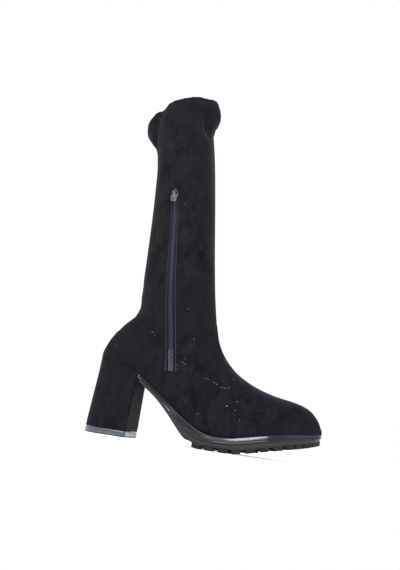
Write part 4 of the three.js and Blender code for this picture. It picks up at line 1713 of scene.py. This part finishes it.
    def _bar_tacks(self) -> None:
        """Makes the pale thread ends at the foot of the zip and on the seam beside it."""
        bars = Bars()
        dice = random.Random(SEED)
        for side in (-1, 1):
            foot = ZIP_HALF(self.bottom)
            for k in range(4):
                z = self.bottom + 3 + k * 2.1
                start = self._across(side * (foot - 0.9), z, 0.15)
                end = self._across(side * (foot + 0.4 * dice.random()), z + dice.uniform(-0.7, 0.7), 0.3)
                bars.add(start, end, 0.17)
        for x, z in ((36.4, 109.8), (38.9, 107.6)):
            start = self.last.on_side(x, z, Side.MEDIAL, 0.6)
            bars.add(start, self.last.on_side(x + 1.5, z - 1.3, Side.MEDIAL, 0.6), 0.16)
        Piece("thread_ends", bars.mesh, self.finishes.pale_thread).ride("suede")

    def _slider(self) -> None:
        """Makes the slider: a waisted body, its bridge with a rivet, and the bar that the pull hangs on."""
        mesh = bmesh.new()
        half, tall = self.slider_width / 2, self.slider_height / 2
        middle = Vector((self.slider_x, self.face_y, self.slider_z))
        profile = (
            (-half + 1.0, tall), (-half, tall - 1.4), (-half + 0.15, 0.8), (-half + 0.9, -tall + 1.2),
            (-half + 1.6, -tall), (half - 1.6, -tall), (half - 0.9, -tall + 1.2), (half - 0.15, 0.8),
            (half, tall - 1.4), (half - 1.0, tall),
        )
        back = [middle + Vector((x, self.slider_depth, z)) for x, z in profile]
        prism(mesh, back, lambda p: p - Vector((0, self.slider_thickness, 0)), 0.55)
        for side in (-1, 1):
            block(mesh, (1.1, 3.3, 2.6), self.bar + Vector((side * 2.2, 1.3, 0)), 0.35)
        axle = bmesh.ops.create_cone(
            mesh, cap_ends=True, segments=20, radius1=self.bar_radius, radius2=self.bar_radius, depth=5.2
        )["verts"]
        bmesh.ops.rotate(mesh, verts=axle, cent=(0, 0, 0), matrix=Matrix.Rotation(math.pi / 2, 3, "Y"))
        bmesh.ops.translate(mesh, vec=self.bar, verts=axle)
        rivet = bmesh.ops.create_uvsphere(mesh, u_segments=18, v_segments=10, radius=1.25)["verts"]
        bmesh.ops.scale(mesh, vec=(1, 0.62, 1), verts=rivet)
        bmesh.ops.translate(mesh, vec=middle + Vector((0, 0.1, -1.9)), verts=rivet)
        self._loop(mesh, middle + Vector((0, 0.6, tall + 0.5)), 1.35, 0.42)
        Piece("slider", merged(mesh), self.finishes.nickel, smooth=32).ride("zip_metal", "zip_slider")

    def _loop(self, mesh: Mesh, centre: Vector, radius: float, thickness: float) -> None:
        """Adds a small ring standing across the zip.

        Args:
            mesh: The mesh to add to.
            centre: Middle of the ring.
            radius: Radius of its middle line.
            thickness: Half the thickness of its wire.
        """
        angles = [TURN * k / 10 for k in range(10)]
        wire = [Vector((radius - thickness * math.sin(a), -thickness * math.cos(a), 0)) for a in angles]
        spun(mesh, [centre + point for point in wire], centre, (0, 1, 0), 24)

    def _pull(self) -> None:
        """Makes the pull tab: an eye round the bar, and a rounded plate with a sunk panel."""
        mesh = bmesh.new()
        self._eye(mesh)
        top = -self.eye_radius + 0.5
        half = self.pull_width / 2
        end = top - self.pull_length
        outline = (
            (-1.3, top + 0.5), (-1.4, top - 0.5), (-half + 0.7, top - 2), (-half, top - 3.2),
            (-half, end + 1.5), (-half + 1.4, end), (half - 1.4, end), (half, end + 1.5),
            (half, top - 3.2), (half - 0.7, top - 2), (1.4, top - 0.5), (1.3, top + 0.5),
        )
        back = [self.bar + Vector((x, self.pull_thickness / 2, z)) for x, z in outline]
        face = mesh.faces.new([mesh.verts.new(point) for point in back])
        grown = bmesh.ops.extrude_face_region(mesh, geom=[face], use_keep_orig=True)["geom"]
        for vert in (item for item in grown if isinstance(item, Vert)):
            vert.co.y -= self.pull_thickness
        front = next(item for item in grown if isinstance(item, bmesh.types.BMFace))
        bmesh.ops.recalc_face_normals(mesh, faces=mesh.faces)
        bmesh.ops.inset_region(mesh, faces=[front], thickness=0.3, depth=0.22)
        bmesh.ops.inset_region(mesh, faces=[front], thickness=1.0, depth=0.0)
        bmesh.ops.inset_region(mesh, faces=[front], thickness=0.16, depth=-0.45)
        tab = Piece("pull_tab", merged(mesh), self.finishes.nickel, smooth=30)
        tab.ride("zip_metal", "zip_pull", body=Body.PULL)

    def _eye(self, mesh: Mesh) -> None:
        """Adds the eye of the pull: a flat ring spun round the bar.

        Args:
            mesh: The mesh to add to.
        """
        inner, outer, half = self.bar_radius + 0.25, self.eye_radius, 1.3
        corners = (
            (inner, -half), (outer - 0.3, -half), (outer, -half + 0.3), (outer, half - 0.3),
            (outer - 0.3, half), (inner, half),
        )
        spun(mesh, [self.bar + Vector((x, 0, r)) for r, x in corners], self.bar, (1, 0, 0), 28)


# ---------------------------------------------------------------- the sole and the heel


PLAN = (
    (-21.4, 0, 0), (-20.3, -6, 6), (-15.5, -13.4, 13.4), (-7, -18.6, 18.6), (5, -22, 22), (16, -23, 23),
    (27, -23.4, 23.6), (45, -25.4, 26.6), (61, -28, 30.6), (75, -31.6, 35.4), (88, -36, 40.4),
    (99, -40, 43.8), (110, -42.9, 45.8), (121, -44.6, 46.5), (135, -45.5, 45.8), (150, -45.2, 42.8),
    (165, -43.4, 37.4), (180, -40, 29.8), (192, -36.6, 24), (202, -33, 17.2), (210, -28.8, 10.4),
    (216, -23.4, 3.6), (219.4, -18.4, -1.6), (221, -12.2, -7.4),
)


class Footprint:
    """The outline of the sole from above."""

    def __init__(self) -> None:
        """Makes a curve for each edge."""
        stations = tuple(float(row[0]) for row in PLAN)
        self.medial = Curve(stations, [float(row[1]) for row in PLAN])
        self.lateral = Curve(stations, [float(row[2]) for row in PLAN])

    def middle(self, x: float) -> float:
        """The middle of the sole at x."""
        return (self.medial(x) + self.lateral(x)) / 2

    def loop(self, start: float, end: float, count: int, axis: tuple[float, float]) -> list[Outline]:
        """The closed outline between two stations.

        Args:
            start: Back end.
            end: Toe end.
            count: Points along each side.
            axis: The x where the line that the inside closes on begins and ends.

        Returns:
            Its points, forwards along the inner side and back along the outer.
        """
        xs = [mix(start, end, math.sin(math.pi / 2 * k / count)) for k in range(count + 1)]
        inner = [Vector((x, self.medial(x), 0)) for x in xs]
        outer = [Vector((x, self.lateral(x), 0)) for x in reversed(xs)]
        tip = Vector((end + 0.25, self.middle(end), 0))
        points = [*inner, tip, *outer]
        found = []
        for k, point in enumerate(points):
            along = (points[(k + 1) % len(points)] - points[k - 1]).normalized()
            inward = Vector((-along.y, along.x, 0))
            found.append(Outline(point, inward, min(max(point.x, axis[0]), axis[1])))
        return found


@dataclass
class Outsole:
    """The unit sole: glossy stepped rim, shank, base, lugs, ring studs and toe fan."""

    finishes: Finishes
    plan: Footprint = field(default_factory=Footprint)
    breast: float = 27.3
    toe: float = 221
    side_points: int = 150
    rim: Pairs = (
        (2.6, 0.0), (1.5, 0.0), (0.95, 0.01), (0.78, 0.04), (0.68, 0.08), (0.36, 0.18), (0.08, 0.28),
        (0.0, 0.3), (0.06, 0.325), (0.5, 0.345), (0.5, 0.37), (0.32, 0.385), (0.24, 0.41), (0.0, 0.52),
        (0.1, 0.55), (0.6, 0.575), (1.15, 0.6), (1.25, 0.66), (1.2, 0.8), (1.35, 0.9), (1.8, 0.97),
        (2.6, 1.0),
    )
    studs: Pairs = (
        (108, -2), (132, -10), (156, -17), (173, -12), (122, 12), (147, 4), (163, 9),
    )
    stud_radius: float = 4.2
    dimple_radius: float = 1.7
    lugs: int = 7
    lug_pitch: float = 13.2
    lug_start: float = 99.5
    fan_hub: tuple[float, float] = (183, -10)
    fan_grooves: int = 8
    groove: float = 1.5
    block_root: float = 0.8
    block_bevel: float = 0.45

    def build(self) -> None:
        """Makes the sole and its tread."""
        self._body()
        self._tread()

    def _body(self) -> None:
        """Makes the sole itself, from its top face round the rim to its underside."""
        loop = self.plan.loop(self.breast, self.toe, self.side_points, (46, 186))
        top = [(share, 0.0) for share in (0.0, 0.3, 0.6, 0.85)]
        under = [(share, 1.0) for share in (0.9, 0.6, 0.3, 0.0)]
        rows = len(top) + len(self.rim) + len(under) - 1

        def place(u: float, v: float) -> Vector:
            """A point of the sole.

            Args:
                u: Share of the way round its outline.
                v: Share of the way from its top face over the rim to its underside.

            Returns:
                The point.
            """
            here = loop[round(u * len(loop)) % len(loop)]
            k = round(v * rows)
            inset, depth, share = 2.6, 0.0, 1.0
            if k < len(top):
                share = top[k][0]
            elif k < len(top) + len(self.rim):
                inset, depth = self.rim[k - len(top)]
            else:
                share, depth = under[k - len(top) - len(self.rim)]
            axis = Vector((here.axis_x, self.plan.middle(here.axis_x), 0))
            point = axis.lerp(here.point + here.inward * inset, share)
            low, high = base_line(point.x), SOLE_LINE(point.x) - GAP
            return Vector((point.x, point.y, mix(high, low, depth)))

        mesh = merged(grid_mesh(len(loop), rows, place), 0.002)
        underside = [face for face in mesh.faces if face.normal.z < -0.5]
        for face in underside:
            face.material_index = 1
        unit = Piece("sole_unit", mesh, self.finishes.welt, self.finishes.tread, smooth=35)
        unit.ride("sole_rubber", "outsole")

    def _edge(self, x: float, side: Side, inset: float = 2.0) -> float:
        """The tread's edge at x, on one side."""
        return self.plan.medial(x) + inset if side is Side.MEDIAL else self.plan.lateral(x) - inset

    def _add(self, mesh: Mesh, outline: Sequence[tuple[float, float]]) -> None:
        """Adds one block of tread from its outline in plan."""
        near = [Vector((x, y, base_line(x) + self.block_root)) for x, y in outline]
        prism(mesh, near, lambda p: Vector((p.x, p.y, TREAD_LINE(p.x))), self.block_bevel)

    def _tread(self) -> None:
        """Makes the edge lugs, the studs and the toe fan."""
        mesh = bmesh.new()
        for k in range(self.lugs):
            share = k / (self.lugs - 1)
            x, lean = self.lug_start + k * self.lug_pitch, mix(4, -2, share)
            reach = mix(13, 17, math.sin(share * math.pi))
            self._edge_lug(mesh, x, Side.MEDIAL, reach, 8.4, lean)
            self._edge_lug(mesh, x - 3, Side.LATERAL, reach - 1, 8.0, lean)
            self._hook(mesh, x - 3 + lean, self.plan.lateral(x - 3) - reach + 1)
        for k in range(self.fan_grooves + 1):
            self._fan_block(mesh, k)
        for x, y in self.studs:
            self._stud(mesh, x, y)
        Piece("tread_blocks", merged(mesh), self.finishes.tread, smooth=30).ride("sole_rubber")

    def _edge_lug(
        self, mesh: Mesh, x: float, side: Side, reach: float, length: float, lean: float
    ) -> None:
        """Adds a lug from the sole's edge inwards.

        Args:
            mesh: The mesh to add to.
            x: Its middle at the edge.
            side: Which edge.
            reach: How far in it goes.
            length: Its length along the edge.
            lean: How far forward its inner end is.
        """
        half = length / 2
        edge = [(x + half * t, self._edge(x + half * t, side)) for t in (-1, -0.5, 0, 0.5, 1)]
        inner = self.plan.medial(x) + reach if side is Side.MEDIAL else self.plan.lateral(x) - reach
        self._add(mesh, [*edge, (x + half * 0.5 + lean, inner), (x - half * 0.5 + lean, inner)])

    def _hook(self, mesh: Mesh, x: float, y: float) -> None:
        """Adds the hooked inner end of an outer lug."""
        self._add(mesh, [(x - 2, y + 1), (x + 6, y - 2), (x + 6, y + 2), (x - 2, y + 5)])

    def _reach(self, angle: float) -> float:
        """Distance from the fan's hub to the tread's edge.

        Args:
            angle: The direction from the hub, from straight ahead to the outer side.

        Returns:
            The distance.
        """
        low, high = 5.0, 80.0
        for _ in range(20):
            far = (low + high) / 2
            x = self.fan_hub[0] + far * math.cos(angle)
            y = self.fan_hub[1] + far * math.sin(angle)
            inside = x < 219 and self._edge(x, Side.MEDIAL) < y < self._edge(x, Side.LATERAL)
            low, high = (far, high) if inside else (low, far)
        return low

    def _fan_block(self, mesh: Mesh, k: int) -> None:
        """Adds one block of the toe fan.

        Args:
            mesh: The mesh to add to.
            k: Its number, counted from the inner side.
        """
        limits = [-84, *(mix(-66, 62, j / (self.fan_grooves - 1)) for j in range(self.fan_grooves)), 86]
        start, end = math.radians(limits[k]), math.radians(limits[k + 1])

        def at(radius: float, angle: float) -> tuple[float, float]:
            """A point of the fan in plan."""
            return self.fan_hub[0] + radius * math.cos(angle), self.fan_hub[1] + radius * math.sin(angle)

        inner = min(6.5 / max(math.cos((start + end) / 2), 0.05), 13)
        slack = self.groove / 2
        shares = (0.0, 0.25, 0.5, 0.75, 1.0)
        outer = []
        for share in shares:
            radius = self._reach(mix(start, end, share))
            narrow = slack / radius
            angle = mix(start + narrow, end - narrow, share)
            outer.append(at(self._reach(angle), angle))
        narrow = slack / inner
        near = [at(inner, (start + end) / 2)]
        if end - start > 2.2 * narrow:
            near = [at(inner, end - narrow), at(inner, start + narrow)]
        self._add(mesh, [*outer, *near])

    def _stud(self, mesh: Mesh, x: float, y: float) -> None:
        """Adds a round stud with a dimple, spun about its own axis.

        Args:
            mesh: The mesh to add to.
            x: Its middle along the foot.
            y: Its middle across the foot.
        """
        low, high = TREAD_LINE(x), base_line(x) + self.block_root
        corners = (
            (self.dimple_radius, high), (self.stud_radius, high), (self.stud_radius, low + 0.5),
            (self.stud_radius - 0.5, low), (self.dimple_radius + 0.4, low), (self.dimple_radius, low + 0.4),
        )
        spun(mesh, [Vector((x + r, y, z)) for r, z in corners], Vector((x, y, 0)), (0, 0, 1), 24)


@dataclass
class BlockHeel:
    """The covered block heel and its rubber top piece."""

    finishes: Finishes
    back: Curve = curve((0, -25), (6, -24.8), (22, -24.2), (45, -23.2), (66, -22.4), (80, -22.3), (88, -22.3))
    breast: Curve = curve((0, 25.6), (6, 25.7), (22, 25.9), (45, 26.3), (66, 26.8), (88, 27))
    half: Curve = curve((0, 28.4), (6, 27.8), (22, 26.4), (45, 24.6), (66, 23.2), (88, 22.6))
    corner: float = 2.4
    flat_side: float = 15
    top_piece: float = 6
    block_steps: int = 40
    rings: dict[float, list[Vector]] = field(default_factory=dict)

    def build(self) -> None:
        """Makes the block and the top piece."""
        self._block()
        self._top_piece()

    def _ring(self, z: float, inset: float) -> list[Vector]:
        """The heel's outline at a height.

        Args:
            z: The height.
            inset: How far inside the heel's own outline.

        Returns:
            Its points, from the middle of the breast round the inner side.
        """
        back, breast, half = self.back(z) + inset, self.breast(z) - inset, self.half(z) - inset
        widest = breast - self.flat_side
        side = [(breast - 0.5 * (1 - (y / half) ** 2), y) for y in (half * k / 8 for k in range(1, 8))]
        for k in range(6):
            angle = math.pi / 2 * k / 5
            x = breast - self.corner * (1 - math.cos(angle))
            side.append((x, half - self.corner * (1 - math.sin(angle))))
        side += [(mix(breast - self.corner, widest, k / 4), half) for k in range(1, 5)]
        for k in range(1, 26):
            angle = math.pi / 2 * k / 26
            side.append((widest - (widest - back) * math.sin(angle), half * math.cos(angle)))
        inner = [Vector((x, -y, z)) for x, y in side]
        outer = [Vector((x, y, z)) for x, y in reversed(side)]
        return [Vector((breast - 0.5, 0, z)), *inner, Vector((back, 0, z)), *outer]

    def _block(self) -> None:
        """Makes the block, covered in suede that is turned under at the bottom."""
        foot = self.top_piece + GAP
        levels = [self._ring(foot, 1.0), self._ring(foot + 0.1, 0.45), self._ring(foot + 0.45, 0.12)]
        for k in range(self.block_steps + 1):
            share = k / self.block_steps
            ring = self._ring(foot + 1, 0.0)
            for j, point in enumerate(ring):
                height = mix(foot + 1, SOLE_LINE(point.x) - GAP, share)
                there = self._ring_point(height, j)
                ring[j] = Vector((there.x, there.y, min(height, SOLE_LINE(there.x) - GAP)))
            levels.append(ring)
        mesh = bmesh.new()
        loft_levels(mesh, levels)
        Piece("heel_cover", merged(mesh), self.finishes.suede, smooth=50).ride("suede", "heel_block")

    def _ring_point(self, z: float, number: int) -> Vector:
        """One point of the heel's outline at a height, to the nearest tenth.

        Args:
            z: The height.
            number: The point's number in the outline.

        Returns:
            The point.
        """
        key = round(z, 1)
        if key not in self.rings:
            self.rings[key] = self._ring(key, 0.0)
        return self.rings[key][number]

    def _top_piece(self) -> None:
        """Makes the rubber under the block, with bevelled edges and a fine line round it."""
        profile = (
            (0, 0.9), (0.25, 0.3), (0.8, 0.0), (3.6, 0.0), (3.8, 0.22), (4.1, 0.22), (4.3, 0.0),
            (5.5, 0.0), (5.85, 0.15), (self.top_piece, 0.55),
        )
        mesh = bmesh.new()
        loft_levels(mesh, [self._ring(z, inset) for z, inset in profile])
        merged(mesh)
        sole = min(mesh.faces, key=lambda face: face.calc_center_median().z)
        bmesh.ops.inset_region(mesh, faces=[sole], thickness=3.0, depth=0.0)
        bmesh.ops.inset_region(mesh, faces=[sole], thickness=0.6, depth=-0.5)
        for face in mesh.faces:
            face.material_index = 1 if face.calc_center_median().z < 0.6 else 0
        tip = Piece("heel_tip", mesh, self.finishes.heel_tip, self.finishes.tread, smooth=35)
        tip.ride("heel_rubber", "heel_top_piece")


# ---------------------------------------------------------------- small things and the studio


@dataclass
class Lint:
    """Specks of lint on the inner side of the boot."""

    last: Last
    finishes: Finishes
    specks: tuple[tuple[float, float, float, float], ...] = (
        (-1.1, 91.9, 0.3, 0), (-4.7, 87.9, 0.22, 0), (7.3, 77.2, 0.24, 0), (81.1, 108.6, 0.26, 0),
        (76.2, 145.2, 0.2, 0), (97.9, 32.7, 0.26, 0), (134.2, 49.1, 0.3, 0), (125.2, 43.3, 0.24, 1.3),
        (139.4, 31.7, 0.2, 0), (50.3, 365.1, 0.22, 0), (29.6, 333.5, 0.18, 0), (9.2, 306.2, 0.2, 0),
    )
    dust: int = 70
    zip_room: float = 9

    def _places(self) -> list[tuple[float, float, float, float]]:
        """The named specks, and fine dust scattered over the inner side, thickest low down.

        Returns:
            For each, its place in side view, its radius and how much longer than round it is.
        """
        dice = random.Random(SEED)
        fine = []
        while len(fine) < self.dust:
            x, z = dice.uniform(-15, 200), dice.uniform(20, 330)
            row, turn = self.last.place(x, z, Side.MEDIAL)
            point = self.last.base_point(row, turn)
            clear = point.z > SOLE_LINE(point.x) + 2 and abs(x - ZIP_X(z)) > self.zip_room
            if clear and dice.random() < 90 / (z + 60):
                fine.append((x, z, dice.uniform(0.08, 0.15), 0.3 * dice.random()))
        return [*self.specks, *fine]

    def build(self) -> None:
        """Makes the specks as one piece."""
        mesh = bmesh.new()
        for x, z, radius, length in self._places():
            place = self.last.place(x, z, Side.MEDIAL)
            point, normal = self.last.point(*place, 0.45), self.last.normal(*place)
            made = bmesh.ops.create_icosphere(mesh, subdivisions=1, radius=radius)["verts"]
            bmesh.ops.scale(mesh, vec=(1 + length / radius / 2, 1, 0.5), verts=made)
            turn = normal.to_track_quat("Z", "Y").to_matrix().to_4x4()
            bmesh.ops.transform(mesh, matrix=Matrix.Translation(point) @ turn, verts=made)
        Piece("lint", mesh, self.finishes.lint).ride("suede")


class Lamp(NamedTuple):
    """A soft lamp: where it is and looks, its two sides in metres, its power in watts and its colour."""

    name: str
    place: tuple[float, float, float]
    aim: tuple[float, float, float]
    size: tuple[float, float]
    power: float
    colour: Colour


@dataclass
class Studio:
    """The floor, the soft light and the camera."""

    camera_place: Vector = field(default_factory=lambda: Vector((0.1524, -0.5154, 0.012)))
    camera_aim: Vector = field(default_factory=lambda: Vector((0.0744, 0.0029, 0.1787)))
    roll: float = 8.6
    lens: float = 29.73
    sensor: float = 36
    floor_size: float = 60
    lamps: tuple[Lamp, ...] = (
        Lamp("key", (-0.75, -1.1, 1.25), (0.08, 0, 0.2), (0.8, 0.8), 8, (1.0, 0.99, 0.97)),
        Lamp("edge", (0.1, -1.2, 0.6), (0.11, 0, 0.02), (0.9, 0.2), 13, (0.93, 0.96, 1.0)),
        Lamp("fill", (1.35, -0.9, 0.75), (0.1, 0, 0.15), (1.1, 1.1), 3, (0.93, 0.96, 1.0)),
        Lamp("back", (0.3, 1.3, 1.3), (0.08, 0, 0.2), (1.4, 0.7), 10, (1.0, 1.0, 1.0)),
    )

    def build(self) -> None:
        """Makes the studio."""
        self._floor()
        self._lights()
        self._camera()

    def _floor(self) -> None:
        """Makes the plain floor."""
        mesh = bmesh.new()
        bmesh.ops.create_grid(mesh, x_segments=1, y_segments=1, size=self.floor_size)
        data = bpy.data.meshes.new("floor")
        mesh.to_mesh(data)
        mesh.free()
        data.materials.append(Plaster().build())
        floor = bpy.data.objects.new("floor", data)
        bpy.context.scene.collection.objects.link(floor)

    def _lights(self) -> None:
        """Makes the lamps and the pale surroundings."""
        for lamp in self.lamps:
            data = bpy.data.lights.new(lamp.name, "AREA")
            data.shape = "RECTANGLE"
            data.size, data.size_y = lamp.size
            data.energy = lamp.power
            data.color = lamp.colour
            light = bpy.data.objects.new(lamp.name, data)
            light.location = lamp.place
            look = Vector(lamp.aim) - Vector(lamp.place)
            light.rotation_euler = look.to_track_quat("-Z", "Y").to_euler()
            bpy.context.scene.collection.objects.link(light)
        world = bpy.data.worlds.new("studio")
        world.use_nodes = True
        surroundings = world.node_tree.nodes["Background"]
        surroundings.inputs["Color"].default_value = (1, 1, 1, 1)
        surroundings.inputs["Strength"].default_value = 1.0
        bpy.context.scene.world = world
        bpy.context.scene.view_settings.view_transform = "Standard"

    def _camera(self) -> None:
        """Makes the camera, low in front of the inner side and rolled so that the toe dips."""
        data = bpy.data.cameras.new("camera")
        data.lens = self.lens
        data.sensor_width = self.sensor
        camera = bpy.data.objects.new("camera", data)
        camera.location = self.camera_place
        look = (self.camera_aim - self.camera_place).to_track_quat("-Z", "Y").to_matrix()
        camera.rotation_euler = (look @ Matrix.Rotation(math.radians(self.roll), 3, "Z")).to_euler()
        bpy.context.scene.collection.objects.link(camera)
        bpy.context.scene.camera = camera


def main() -> None:
    """Builds the boot and the studio; each piece of the boot logs its number of faces as it is put on its
    body.
    """
    logging.basicConfig(level=logging.INFO, format="%(name)s: %(message)s")
    finishes = Finishes()
    last = Last(SECTIONS, FOLDS)
    Upper(last, finishes).build()
    Zip(last, finishes).build()
    Outsole(finishes).build()
    BlockHeel(finishes).build()
    Lint(last, finishes).build()
    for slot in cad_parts["insole"].material_slots:
        slot.material = finishes.sock
    Studio().build()


if __name__ == "__main__":
    main()
